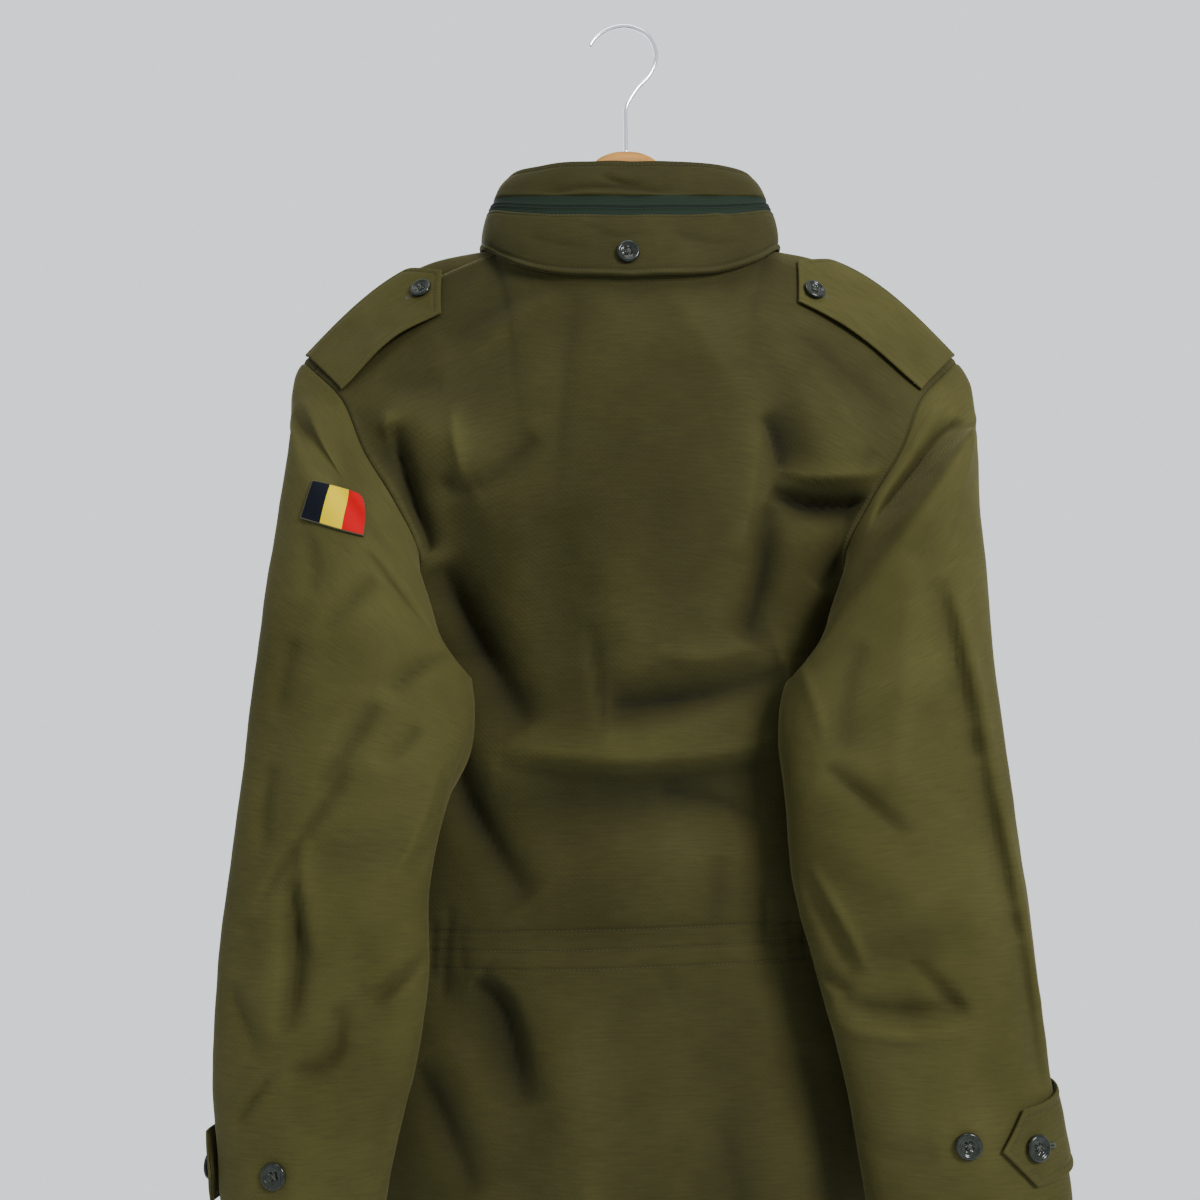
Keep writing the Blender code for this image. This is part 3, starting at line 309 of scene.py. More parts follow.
HOOK_ROUTE = Table(
    "step x z",
    (0, 0.0030, -0.1180),
    (1, 0.0030, -0.0960),
    (2, 0.0033, -0.0760),
    (3, 0.0120, -0.0590),
    (4, 0.0245, -0.0440),
    (5, 0.0300, -0.0260),
    (6, 0.0240, -0.0085),
    (7, 0.0120, -0.0003),
    (8, 0.0000, 0.0018),
    (9, -0.0125, -0.0015),
    (10, -0.0235, -0.0095),
    (11, -0.0290, -0.0180),
)


def folds(*rows):
    """Large folds from rows of millimetres: x0 z0 x1 z1 width depth, negative for a trough."""
    return [[value / 1000 for value in row] for row in rows]


def creases(*rows):
    """Creases from rows of millimetres: x0 z0 x1 z1 x2 z2 width depth.

    A ninth value is how many times wider the bank is on one side.
    """
    return [(*folds(row[:8])[0], *(row[8:] or (1,))) for row in rows]


BACK_FOLDS = folds(
    (-205, -350, -118, -420, 30, 10),
    (-150, -440, -125, -540, 30, -12),
    (118, -350, 128, -420, 18, -9),
    (150, -380, 205, -410, 34, 9),
    (120, -432, 190, -440, 20, -10),
    (-12, -450, 0, -600, 26, 6),
    (-60, -470, -50, -580, 24, -5),
    (-120, -645, 0, -632, 24, 8),
    (0, -632, 130, -565, 24, 9),
    (-110, -685, 120, -665, 30, -10),
    (0, -730, 110, -725, 40, 5),
    (-150, -780, 150, -772, 12, -3),
    (-150, -800, -70, -900, 24, -9),
    (-60, -810, -20, -1000, 30, 5),
    (60, -830, 90, -1030, 30, -5),
    (130, -780, 140, -840, 12, -4),
)
FRONT_FOLDS = folds(
    (180, -380, 110, -520, 24, 8),
    (200, -500, 110, -650, 30, -9),
    (150, -600, 60, -740, 26, 7),
    (60, -780, 170, -775, 14, -4),
    (120, -800, 140, -1020, 28, -7),
    (70, -820, 75, -1040, 30, 5),
)
SLEEVE_BACK_FOLDS = {
    -1: folds(
        (272, -345, 205, -415, 16, 6),
        (205, -415, 150, -520, 18, 9),
        (240, -360, 195, -440, 16, -8),
        (150, -600, 250, -560, 20, -4),
        (145, -655, 235, -640, 18, 5),
        (150, -700, 230, -720, 18, -6),
        (240, -700, 270, -900, 22, 4),
        (180, -780, 200, -940, 20, -4),
    ),
    1: folds(
        (270, -350, 215, -412, 14, -10),
        (215, -412, 190, -460, 14, -9),
        (280, -380, 170, -500, 18, 8),
        (240, -420, 235, -620, 26, 4),
        (130, -640, 220, -600, 18, -5),
        (125, -700, 200, -740, 18, 5),
        (140, -790, 220, -770, 16, -6),
        (210, -800, 235, -940, 20, 4),
    ),
}
SLEEVE_FRONT_FOLDS = folds(
    (260, -430, 200, -560, 20, 6),
    (270, -600, 190, -640, 18, -6),
    (270, -680, 180, -660, 18, 6),
    (270, -740, 190, -800, 20, -5),
)
BACK_CREASES = creases(
    (-75, -268, -115, -285, -150, -312, 18, -4),
    (-53, -270, -95, -292, -127, -326, 12, 3, 0.8),
    (-45, -272, -54, -352, -60, -449, 13, -2.8),
    (30, -270, 55, -312, 98, -374, 20, 3.2, 0.6),
    (-24, -387, 0, -380, 24, -375, 3, 0.9),
    (104, -374, 112, -395, 118, -428, 14, -11, 0.4),
    (98, -385, 92, -440, 80, -490, 6, 3, 1.8),
    (107, -448, 99, -505, 83, -553, 16, -14, 0.6),
    (113, -415, 150, -424, 207, -416, 9, 9, 0.6),
    (110, -432, 150, -442, 209, -433, 5, -21, 2.8),
    (192, -445, 174, -470, 146, -510, 12, -15),
    (191, -400, 184, -411, 177, -424, 5, -2),
    (141, -330, 158, -352, 175, -382, 8, 2.5),
    (133, -298, 166, -327, 203, -368, 11, -3.5),
    (-222, -365, -214, -392, -198, -425, 9, -9),
    (-196, -366, -189, -403, -173, -468, 7, 8),
    (-191, -380, -178, -427, -159, -482, 9, -22, 1.6),
    (-140, -366, -137, -398, -132, -424, 6, 6, 1.4),
    (-122, -434, -100, -418, -75, -395, 11, -6),
    (-152, -425, -136, -434, -118, -428, 5.5, -4.5, 1.3),
    (-164, -330, -155, -326, -143, -325, 5, 2.2),
    (-207, -338, -180, -345, -150, -346, 13, -4),
    (-152, -490, -122, -545, -80, -618, 15, -18.5, 1.4),
    (-19.5, -621, -26, -594, -34, -540, 4, -6, 4),
    (-18, -602, 50, -594, 118, -574, 25, -22),
    (16, -560, 52, -566, 94, -556, 16, 6, 0.7),
    (-100, -632, 10, -643, 114, -626, 11, 4.5, 0.6),
    (-106, -646, 3, -660, 112, -641, 6.5, -6.5, 2.6),
    (18, -665, 60, -674, 99, -689, 7, -4, 1.5),
    (-140, -632, -122, -682, -80, -748, 14, -15, 1.2),
    (66, -716, 62, -742, 61, -770, 12, -4.5),
    (-57.5, -745, -57.5, -766, -57.5, -787, 2.2, -1.1),
    (98.5, -738, 100, -775, 103, -814, 3.2, -3.2, 1.4),
    (108, -770, 109, -782, 108.5, -797, 2.5, -2.5),
    (119, -752, 121, -780, 124, -822, 3.5, -3.5, 1.3),
    (131, -762, 131, -784, 134, -806, 3, -3),
    (144, -745, 145, -783, 149, -824, 4, -4, 1.3),
    (160, -755, 161, -785, 163, -812, 3.5, -3),
    (-131, -768, -132, -785, -130, -803, 3, -2.8),
    (-141, -752, -143, -788, -146, -826, 4, -4, 1.2),
    (-154, -765, -155, -788, -154, -812, 3.2, -3),
    (-168, -750, -170, -790, -174, -830, 4.5, -4, 1.2),
    (18, -788, 30, -820, 41, -855, 4, -1),
    (-122, -812, -94, -840, -83, -897, 14, -13),
    (-110, -803, -83, -830, -70, -890, 9, 3),
    (-166, -872, -140, -915, -118, -960, 15, -11),
    (60, -900, 75, -960, 80, -1035, 16, -4),
    (-40, -930, -30, -980, -32, -1040, 18, 4),
    (130, -860, 150, -940, 152, -1030, 16, -5),
)
FRONT_CREASES = creases(
    (195, -395, 150, -450, 85, -520, 12, 4),
    (190, -430, 140, -500, 70, -580, 10, -5, 1.3),
    (200, -520, 150, -575, 80, -630, 10, -4.5),
    (195, -560, 140, -600, 60, -650, 9, 4, 1.5),
    (60, -700, 110, -715, 180, -705, 8, 4, 0.7),
    (60, -760, 61, -785, 63, -815, 3.5, -3),
    (85, -765, 86, -786, 88, -806, 3, -2.8),
    (115, -750, 117, -785, 119, -822, 4, -4, 1.3),
    (140, -760, 142, -786, 143, -812, 3.5, -3),
    (168, -752, 169, -785, 172, -825, 4, -4),
    (90, -830, 100, -920, 98, -1030, 16, -5),
    (150, -820, 158, -920, 165, -1035, 15, 4),
    (70, -310, 90, -340, 120, -370, 14, 2.5),
)
SLEEVE_BACK_CREASES = {
    -1: creases(
        (264, -352, 240, -400, 203, -456, 5, 7.2, 2),
        (271, -366, 249, -408, 214, -462, 7, -5.6),
        (249, -470, 237, -498, 239, -526, 8, -4),
        (190, -512, 207, -528, 228, -550, 6, -5.1, 1.4),
        (200, -487, 172, -525, 143, -560, 10, -5.6),
        (131, -567, 158, -577, 178, -596, 6, -6.7),
        (249, -555, 255, -583, 258, -612, 10, -5.6),
        (187, -603, 205, -632, 225, -665, 9, -6.7, 1.2),
        (157, -620, 167, -633, 180, -648, 6, -5.1),
        (204, -646, 237, -698, 270, -750, 3.5, -4.5, 2.2),
        (262, -648, 265, -678, 264, -710, 9, -5.6),
        (235, -697, 231, -740, 222, -781, 5, 5.6),
        (244, -728, 238, -780, 246, -833, 9, -10.4),
        (141, -646, 154, -690, 173, -727, 5, 6.1, 1.5),
        (133, -668, 148, -702, 163, -728, 6, -5.6),
        (146, -784, 168, -799, 184, -814, 5, -7.2),
        (146, -774, 168, -788, 190, -803, 6, 4.8),
        (210, -812, 213, -850, 241, -858, 8, -7.2),
        (254, -862, 266, -878, 279, -896, 4, -4.5),
        (285, -757, 278, -759, 269, -760, 3, -1.9),
        (288, -800, 276, -825, 262, -849, 10, -5.6),
        (160, -870, 175, -900, 182, -940, 10, -4.8),
        (225, -900, 235, -930, 238, -960, 14, 3.2),
    ),
    1: creases(
        (260, -374, 230, -405, 183, -466, 5.5, -13.6),
        (266, -386, 236, -418, 189, -478, 9, 7.2, 0.6),
        (252, -360, 232, -378, 210, -402, 6, 6.4),
        (262, -386, 252, -421, 218, -503, 3, 3.5, 1.3),
        (221.5, -514, 236, -580, 248, -642, 6, -8.8, 2.3),
        (244, -622, 260, -700, 273, -770, 6, -8.8, 2.3),
        (270, -750, 280, -810, 286, -870, 6, -7.2, 2.3),
        (232, -520, 248, -590, 262, -660, 6, 4.8),
        (260, -650, 275, -730, 290, -820, 7, 4.8),
        (137, -648, 160, -668, 191, -696, 6, -6.4, 1.3),
        (125, -718, 145, -755, 164, -790, 3.5, 4.5),
        (120, -730, 138, -765, 156, -797, 6, -4),
        (143, -814, 190, -819, 229, -812, 10, -7.2),
        (140, -832, 188, -834, 228, -826, 5, 5.1, 1.5),
        (193, -783, 210, -800, 229, -820, 6, -5.1),
        (124, -793, 138, -800, 152, -808, 6, -7.2),
        (118, -552, 127, -591, 138, -632, 4, 3.5),
        (199, -495, 192, -580, 180, -665, 20, 4.8),
        (150, -905, 175, -915, 205, -910, 12, -3.2),
        (165, -560, 150, -600, 150, -640, 12, -4.8),
    ),
}
SLEEVE_FRONT_CREASES = creases(
    (262, -440, 235, -490, 205, -545, 10, -7, 1.2),
    (250, -470, 225, -520, 180, -570, 8, 4.9),
    (285, -600, 240, -625, 190, -640, 9, -6.3, 1.4),
    (280, -650, 235, -660, 170, -650, 8, 5.6),
    (285, -700, 245, -725, 185, -735, 9, -6.3),
    (270, -760, 240, -790, 205, -850, 10, -6.3),
    (250, -880, 240, -920, 238, -965, 12, 3.5),
)
COLLAR_CREASES = creases(
    (-25, -172, -12, -178, 8, -182, 2.8, -2.6, 1.4),
    (-78, -187, 0, -185, 86, -204, 4, -2.9, 0.8),
    (-72, -194, 5, -192, 80, -208, 4, 2.2),
    (-31, -217, -16, -227, 16, -225.5, 3.5, -1.4),
    (-123, -222, -113, -233, -97, -245, 5, -6.4),
    (30, -222, 60, -230, 85, -226, 6, -1.9),
    (-85, -222, -60, -232, -35, -236, 6, -1.6),
)


def clipped(share):
    return np.clip(share, 0, 1)


def sin_of(angle):
    return np.sin(np.radians(angle))


def cos_of(angle):
    return np.cos(np.radians(angle))


def least(*ways):
    return np.minimum.reduce(ways)


def ramp(value, low, high):
    """0 under low and 1 over high, with soft ends."""
    share = clipped((value - low) / (high - low))
    return share * share * (3 - 2 * share)


def between(first, second, share):
    return first + (second - first) * np.asarray(share)[..., None]


def unit(vectors):
    return vectors / np.maximum(np.linalg.norm(vectors, axis=-1, keepdims=True), 1e-9)


def bell(distance, width):
    return np.exp(-((distance / width) ** 2))


def fold_depth(table, x, z):
    """Height of the cloth over its plain form: soft banks along each row of the table."""
    total = np.zeros(np.shape(x))
    for x0, z0, x1, z1, width, depth in table:
        length_squared = (x1 - x0) ** 2 + (z1 - z0) ** 2
        along = ((x - x0) * (x1 - x0) + (z - z0) * (z1 - z0)) / length_squared
        nearest = clipped(along)
        away = np.hypot(x - x0 - nearest * (x1 - x0), z - z0 - nearest * (z1 - z0))
        taper = 0.45 + 0.55 * np.sin(math.pi * nearest)
        total = total + depth * taper * bell(away, width)
    return total


def crease_height(table, x, z):
    """Height of the creases over the large folds; each dies out at its ends."""
    total = np.zeros(np.shape(x))
    share = np.linspace(0, 1, 13)
    weights = ((1 - share) * (1 - 2 * share), 4 * share * (1 - share), share * (2 * share - 1))
    for x0, z0, x1, z1, x2, z2, width, depth, steep in table:
        path_x = weights[0] * x0 + weights[1] * x1 + weights[2] * x2
        path_z = weights[0] * z0 + weights[1] * z1 + weights[2] * z2
        reach = 3 * width * max(1, steep)
        near = (x > path_x.min() - reach) & (x < path_x.max() + reach)
        near &= (z > path_z.min() - reach) & (z < path_z.max() + reach)
        if not near.any():
            continue
        best = np.full(near.sum(), np.inf)
        side = np.zeros_like(best)
        way = np.zeros_like(best)
        for k in range(12):
            run_x = path_x[k + 1] - path_x[k]
            run_z = path_z[k + 1] - path_z[k]
            gap_x = x[near] - path_x[k]
            gap_z = z[near] - path_z[k]
            along = clipped((gap_x * run_x + gap_z * run_z) / (run_x**2 + run_z**2))
            gap_x = gap_x - along * run_x
            gap_z = gap_z - along * run_z
            closer = np.hypot(gap_x, gap_z) < best
            best = np.where(closer, np.hypot(gap_x, gap_z), best)
            side = np.where(closer, gap_x * run_z - gap_z * run_x, side)
            way = np.where(closer, (k + along) / 12, way)
        spread = np.where(side > 0, width * steep, width) * 0.85
        total[near] += depth * np.sqrt(4 * way * (1 - way)) * np.exp(-((best / spread) ** 1.25))
    return total


# ---------------------------------------------------------------- the cut
def armhole(angle):
    return np.stack([ARMHOLE(axis, angle) for axis in "xyz"], axis=-1)


def neck_ring(angle, half_width, half_depth, z):
    """A point on a ring round the neck, flattened behind and in front."""
    sine = sin_of(angle)
    cosine = cos_of(angle)
    x = half_width * np.sign(sine) * np.abs(sine) ** NECK_SQUARENESS
    y = -half_depth * np.sign(cosine) * np.abs(cosine) ** NECK_SQUARENESS
    return np.stack(np.broadcast_arrays(x, y, z), axis=-1)


def neckline(angle):
    return neck_ring(angle, NECK_HALF_WIDTH, NECK_HALF_DEPTH, NECKLINE("z", np.abs(angle)))


def shoulder_line(neck_angle, arm_angle, share, rise, lean):
    """From the neckline to the armhole, raised in its middle and leaning towards +Y there."""
    line = between(neckline(neck_angle), armhole(arm_angle), share)
    arch = np.sin(math.pi * clipped(share))
    line[..., 1] += lean * arch
    line[..., 2] += rise * arch
    return line


def shoulder_share(column):
    return clipped((column - NECK_COLUMN) / (1 - NECK_COLUMN))


def top_line(column):
    """The back panel's upper edge: neckline, then shoulder seam."""
    neck = neckline(SEAM_NECK_ANGLE * clipped(column / NECK_COLUMN))
    share = shoulder_share(column)
    seam = shoulder_line(SEAM_NECK_ANGLE, SEAM_ARM_ANGLE, share, SEAM_BULGE, BACK_LEAN)
    return np.where((column < NECK_COLUMN)[..., None], neck, seam)


def front_line(column):
    """The front neckline, then the line where the front turns over the shoulder."""
    neck = neckline(180 - (180 - FRONT_NECK_ANGLE) * clipped(column / NECK_COLUMN))
    share = shoulder_share(column)
    turn = shoulder_line(FRONT_NECK_ANGLE, FRONT_ARM_ANGLE, share, FRONT_BULGE, FRONT_LEAN)
    return np.where((column < NECK_COLUMN)[..., None], neck, turn)


def plain_panel(face, column, level):
    """The panel before its top is shaped.  Level 0 is the hem, 1 the armpit and 2 the top."""
    body_z = HEM_Z + (ARMPIT_Z - HEM_Z) * clipped(level)
    climb = clipped(level - 1)
    if face == "back":
        angle = 180 + (180 + SEAM_ARM_ANGLE) * climb
        middle_z = body_z + (BACK_NECK_Z - ARMPIT_Z) * climb
    else:
        angle = 180 - (180 - SEAM_ARM_ANGLE) * climb
        middle_z = body_z + (FRONT_NECK_Z - ARMPIT_Z) * clipped(climb / FRONT_TURN)
    side = np.stack([SIDE("half_width", body_z), SIDE("edge_y", body_z), body_z], axis=-1)
    edge = np.where((level > 1)[..., None], armhole(angle), side)
    middle_y = CENTRE(face + "_y", middle_z)
    roundness = CENTRE("roundness", middle_z)
    share = column * (1 - roundness) + np.sin(column * math.pi / 2) * roundness
    arc = clipped(1 - share**2) ** (1 - roundness / 2)
    x = share * edge[..., 0]
    y = edge[..., 1] + (middle_y - edge[..., 1]) * arc
    z = middle_z + (edge[..., 2] - middle_z) * share**2
    return np.stack([x, y, z], axis=-1)


def back_half(column, level):
    """The back panel's right half before its folds."""
    points = plain_panel("back", column, level)
    top_change = top_line(column) - plain_panel("back", column, np.full_like(level, 2.0))
    share = clipped((level - BACK_TOP_LEVEL) / (2 - BACK_TOP_LEVEL))
    return points + top_change * (share**2)[..., None]


def front_half(column, level):
    """The right front before its folds, up over the shoulder to the shoulder seam."""
    lower = np.minimum(level, TURN_LEVEL)
    points = plain_panel("front", column, lower)
    change = front_line(column) - plain_panel("front", column, np.full_like(level, TURN_LEVEL))
    share = clipped((lower - FRONT_TOP_LEVEL) / (TURN_LEVEL - FRONT_TOP_LEVEL))
    points = points + change * (share**2)[..., None]
    share = shoulder_share(column)
    over = clipped((level - TURN_LEVEL) / (2 - TURN_LEVEL))
    arm_angle = FRONT_ARM_ANGLE + (SEAM_ARM_ANGLE - FRONT_ARM_ANGLE) * over
    neck_angle = FRONT_NECK_ANGLE + (SEAM_NECK_ANGLE - FRONT_NECK_ANGLE) * over
    rise = FRONT_BULGE * (1 - over) + SEAM_BULGE * over
    rise = rise + (RIDGE_BULGE - (FRONT_BULGE + SEAM_BULGE) / 2) * 4 * over * (1 - over)
    lean = FRONT_LEAN * (1 - over) + BACK_LEAN * over
    shoulder = shoulder_line(neck_angle, arm_angle, share, rise, lean)
    return np.where((level > TURN_LEVEL)[..., None], shoulder, points)


def edge_fade(column, level):
    """Folds die out at the side seams, the armholes and the top."""
    return (1 - clipped(column) ** 8) * (1 - ramp(level, 1.72, 1.95))


def crease_fade(column, level):
    """Creases run closer to the seams than the large folds do."""
    return (1 - ramp(column, 0.93, 1.0)) * (1 - ramp(level, 1.90, 1.99))


def back_panel(column, level):
    """Column runs from -1 at the left side to 1 at the right."""
    side = np.where(column < 0, -1.0, 1.0)
    reach = np.abs(column)
    points = back_half(reach, level)
    points[..., 0] *= side
    x = points[..., 0].copy()
    z = points[..., 2]
    points[..., 1] -= fold_depth(BACK_FOLDS, x, z) * edge_fade(reach, level)
    points[..., 1] -= crease_height(BACK_CREASES, x, z) * crease_fade(reach, level)
    points[..., 0] += MIDDLE_X
    return points


def front_panel(side, column, level):
    points = front_half(column, level)
    x = points[..., 0].copy()
    z = points[..., 2]
    inner_fade = ramp(column, 0.05, 0.30)
    points[..., 1] += fold_depth(FRONT_FOLDS, x, z) * edge_fade(column, level) * inner_fade
    points[..., 1] += crease_height(FRONT_CREASES, x, z) * crease_fade(column, level) * inner_fade
    points[..., 0] = MIDDLE_X + side * x
    return points


def sleeve_ring(side, angle, station):
    """The hanging sleeve's sections: tilted ovals, named by their outer and inner edges."""
    name = "_left" if side < 0 else "_right"
    outer = SLEEVE("outer" + name, station)
    inner = SLEEVE("inner" + name, station)
    tilt = np.radians(SLEEVE("tilt", station))
    cosine = cos_of(angle)
    sine = sin_of(angle)
    x = (outer + inner) / 2 + (outer - inner) / 2 * cosine
    y = SLEEVE("y", station) + SLEEVE("half_depth", station) * sine
    z = SLEEVE("z", station) + (outer - inner) / 2 * np.tan(tilt) * cosine
    z = z - SLEEVE("front_drop", station) * clipped(sine) * clipped(1 - cosine)
    return np.stack(np.broadcast_arrays(x, y, z), axis=-1)


def clear_of_torso(points, clearance):
    """Moves what would lie in the torso out to its side or its back."""
    x = points[..., 0]
    z = points[..., 2]
    edge_y = SIDE("edge_y", z)
    y = points[..., 1] - edge_y
    half_width = SIDE("half_width", z) + clearance
    level_z = np.minimum(z, ARMPIT_Z)
    behind = edge_y - CENTRE("back_y", level_z)
    half_depth = np.where(y < 0, behind, CENTRE("front_y", level_z) - edge_y)
    reach = np.hypot(x / half_width, y / (half_depth + clearance))
    growth = 1 + (1 / np.clip(reach, 0.4, 1) - 1) * (1 - ramp(z, *SLEEVE_FREE_Z))
    return np.stack([x * growth, edge_y + y * growth, z], axis=-1)


def hermite(a, b, slope_a, slope_b, s):
    s = s[..., None]
    start = (1 + 2 * s) * (1 - s) ** 2 * a + s * (1 - s) ** 2 * slope_a
    return start + s * s * (3 - 2 * s) * b + s * s * (s - 1) * slope_b


def sleeve_plain(side, angle, station):
    """From the armhole (station 0) over the sleeve head to the cuff (station 9)."""
    root = armhole(angle)
    first = np.full_like(station, 2.0)
    ring = sleeve_ring(side, angle, first)
    slope = (sleeve_ring(side, angle, first + 0.05) - ring) / 0.05
    front, behind = clipped(sin_of(angle)), clipped(-sin_of(angle))
    top, under = clipped(cos_of(angle)), clipped(-cos_of(angle))
    middle = (root + ring) / 2
    middle[..., 0] += 0.026 * front + HEAD_BULGE[side] * top
    middle[..., 0] -= 0.016 * under * behind
    middle[..., 2] -= 0.014 * under + UNDERARM_DIP * under * front
    start_slope = middle - root
    start_slope[..., 0] += 0.028 * top + 0.040 * front + 0.030 * under**3
    start_slope[..., 2] -= 0.030 * under
    middle_slope = (ring - root) / 2
    head = hermite(root, middle, start_slope, middle_slope, clipped(station))
    upper = hermite(middle, ring, middle_slope, slope, clipped(station - 1))
    lower = sleeve_ring(side, angle, np.maximum(station, 2.0))
    points = np.where((station < 1)[..., None], head, upper)
    points = np.where((station < 2)[..., None], points, lower)
    spread = UNDERARM_SPREAD * np.minimum(1 - under + top, SPREAD_LIMIT)
    spread = spread * ramp(station, 0.0, 0.9) * (1 - ramp(station, *SPREAD_FADE))
    moved = clear_of_torso(points, TORSO_CLEARANCE + spread)
    return between(points, moved, ramp(station, 0.0, 0.25))


def sleeve(side, angle, station):
    points = sleeve_plain(side, angle, station)
    sine = sin_of(angle)
    fade = ramp(station, 0.1, 0.7) * (1 - ramp(station, 8.6, 9.0))
    behind = np.sqrt(clipped(-sine))
    ahead = np.sqrt(clipped(sine)) * ramp(station, 1.5, 2.5)
    x = points[..., 0].copy()
    z = points[..., 2]
    creased = SLEEVE_CREASES * crease_height(SLEEVE_BACK_CREASES[side], x, z)
    if side == PATCH_SIDE:  # the stiff patch keeps the cloth under it smooth
        from_patch = np.hypot(x - PATCH_MIDDLE[0], z - PATCH_MIDDLE[1])
        creased = creased * (1 - bell(from_patch**2, PATCH_REACH**2))
    back = fold_depth(SLEEVE_BACK_FOLDS[side], x, z) + creased
    front = fold_depth(SLEEVE_FRONT_FOLDS, x, z) + crease_height(SLEEVE_FRONT_CREASES, x, z)
    points[..., 1] += (front * ahead - back * behind) * fade
    points[..., 0] = MIDDLE_X + side * x
    return points


def collar(angle, height):
    """The stand-up collar's outer face: angle round the neck, height from 0 to 1."""
    lap = COLLAR_LAP * cos_of(angle) ** 4
    z0 = NECKLINE("z", np.abs(angle)) + COLLAR_GAP - lap
    z = z0 + (COLLAR_TOP("z", np.abs(angle)) - z0) * height
    points = neck_ring(angle, COLLAR("half_width", height), COLLAR("half_depth", height), z)
    points[..., 0] += MIDDLE_X
    return points


def collar_creases(cloth):
    """Creases of the collar's back; its front has none."""
    x, y, z = (cloth.points[..., axis] for axis in range(3))
    return crease_height(COLLAR_CREASES, x - MIDDLE_X, z) * (y < 0)


def shoulder_cloth(side, column, distance):
    """Points of the shoulder, by their way down the back from the ridge."""
    ridge_level = (TURN_LEVEL + 2) / 2
    over = front_panel(side, *np.meshgrid(column, np.linspace(ridge_level, 2, 17)))
    down = back_panel(*np.meshgrid(side * column, np.linspace(2, 1.70, 33)[1:]))
    path = np.concatenate([over, down])
    ways = np.cumsum(np.linalg.norm(np.diff(path, axis=0), axis=2), axis=0)
    ways = np.pad(ways, ((1, 0), (0, 0)))
    points = np.empty((len(column), 3))
    for i, way in enumerate(distance):
        points[i] = [np.interp(way, ways[:, i], path[:, i, axis]) for axis in range(3)]
    return points


def strap_surface(side, along, across):
    """The shoulder under the strap: along it from its button end, and across it downwards."""
    shape = along.shape
    start = np.interp(across.ravel(), *STRAP_START[side].rows.T)
    column = start + (STRAP_END_COLUMN - start) * along.ravel()
    distance = STRAP_TOP + STRAP_DROP * across.ravel()
    return shoulder_cloth(side, column, distance).reshape(*shape, 3)


def strap_gap(side, along, across):
    return STRAP_GAP + STRAP_LIFT[side] * across**2 * np.sin(math.pi * along) ** 2


def tab_gap(side, around):
    return TAB_GAP + TAB_LIFT[side] * around**2


def tab_surface(side, around, along):
    """The cuff under its tab: round the sleeve from the tab's root."""
    corner_angle = TAB_CORNER_ANGLE[side]
    end_angle = corner_angle + (TAB_TIP_ANGLE[side] - corner_angle) * (1 - np.abs(2 * along - 1))
    angle = TAB_BASE_ANGLE[side] + (end_angle - TAB_BASE_ANGLE[side]) * around
    base_low, base_high = TAB_BASE_STATIONS[side]
    end_low, end_high = TAB_END_STATIONS[side]
    low = base_low + (end_low - base_low) * around
    high = base_high + (end_high - base_high) * around
    return sleeve(side, angle, low + (high - low) * along)


def place_seen_at(function, x, z, u, v):
    """Newton's method for the places on a surface that lie at x and z, from a first guess."""
    step_u = 0.5
    step_v = 0.02
    for _ in range(12):
        here = function(u, v)
        along_u = (function(u + step_u, v) - here) / step_u
        along_v = (function(u, v + step_v) - here) / step_v
        gap_x = x - here[..., 0]
        gap_z = z - here[..., 2]
        turn = along_u[..., 0] * along_v[..., 2] - along_u[..., 2] * along_v[..., 0]
        u = u + (gap_x * along_v[..., 2] - gap_z * along_v[..., 0]) / turn
        v = v + (gap_z * along_u[..., 0] - gap_x * along_u[..., 2]) / turn
    return u, v


def patch_shares(across, down):
    """Shares of the flag patch's width and height, drawn in at its one rounded corner."""
    left, low = PATCH_CORNER
    corner = np.stack([(across - left) / (1 - left), (low - down) / low], axis=-1)
    inside = (corner > 0).all(axis=-1)
    corner = unit(corner) * np.max(corner, axis=-1, keepdims=True)
    across = np.where(inside, left + (1 - left) * corner[..., 0], across)
    return across, np.where(inside, low - low * corner[..., 1], down)


def patch_surface(across, down):
    """The left sleeve under the flag patch, a slanted rectangle with one rounded corner."""
    top_left, top_right, bottom_left, bottom_right = (np.array(corner) for corner in PATCH_CORNERS)
    across, down = patch_shares(across, down)
    top = between(top_left, top_right, across)
    bottom = between(bottom_left, bottom_right, across)
    place = top + (bottom - top) * down[..., None]
    first = [np.full(across.shape, value) for value in PATCH_GUESS]

    def sleeve_from_eye(u, v):
        """The sleeve as it is seen on an upright plane at the patch's own distance."""
        points = sleeve(PATCH_SIDE, u, v) - EYE
        return EYE + points * ((PATCH_Y - EYE[1]) / points[..., 1])[..., None]

    x, z = MIDDLE_X + place[..., 0], place[..., 1]
    return sleeve(PATCH_SIDE, *place_seen_at(sleeve_from_eye, x, z, *first))


def fly_surface(x, level):
    """The closed fronts under the fly, by the way across from the front middle."""
    side = np.where(x < 0, -1.0, 1.0)
    body_z = HEM_Z + (ARMPIT_Z - HEM_Z) * clipped(level)
    middle_z = body_z + (FRONT_NECK_Z - ARMPIT_Z) * clipped((level - 1) / FRONT_TURN)
    roundness = CENTRE("roundness", middle_z)
    edge_x = front_half(np.ones_like(level), level)[..., 0]
    column = np.abs(x) / edge_x / (1 - roundness + roundness * math.pi / 2)
    points = front_panel(1, column, level)
    points[..., 0] = MIDDLE_X + side * (points[..., 0] - MIDDLE_X)
    return points


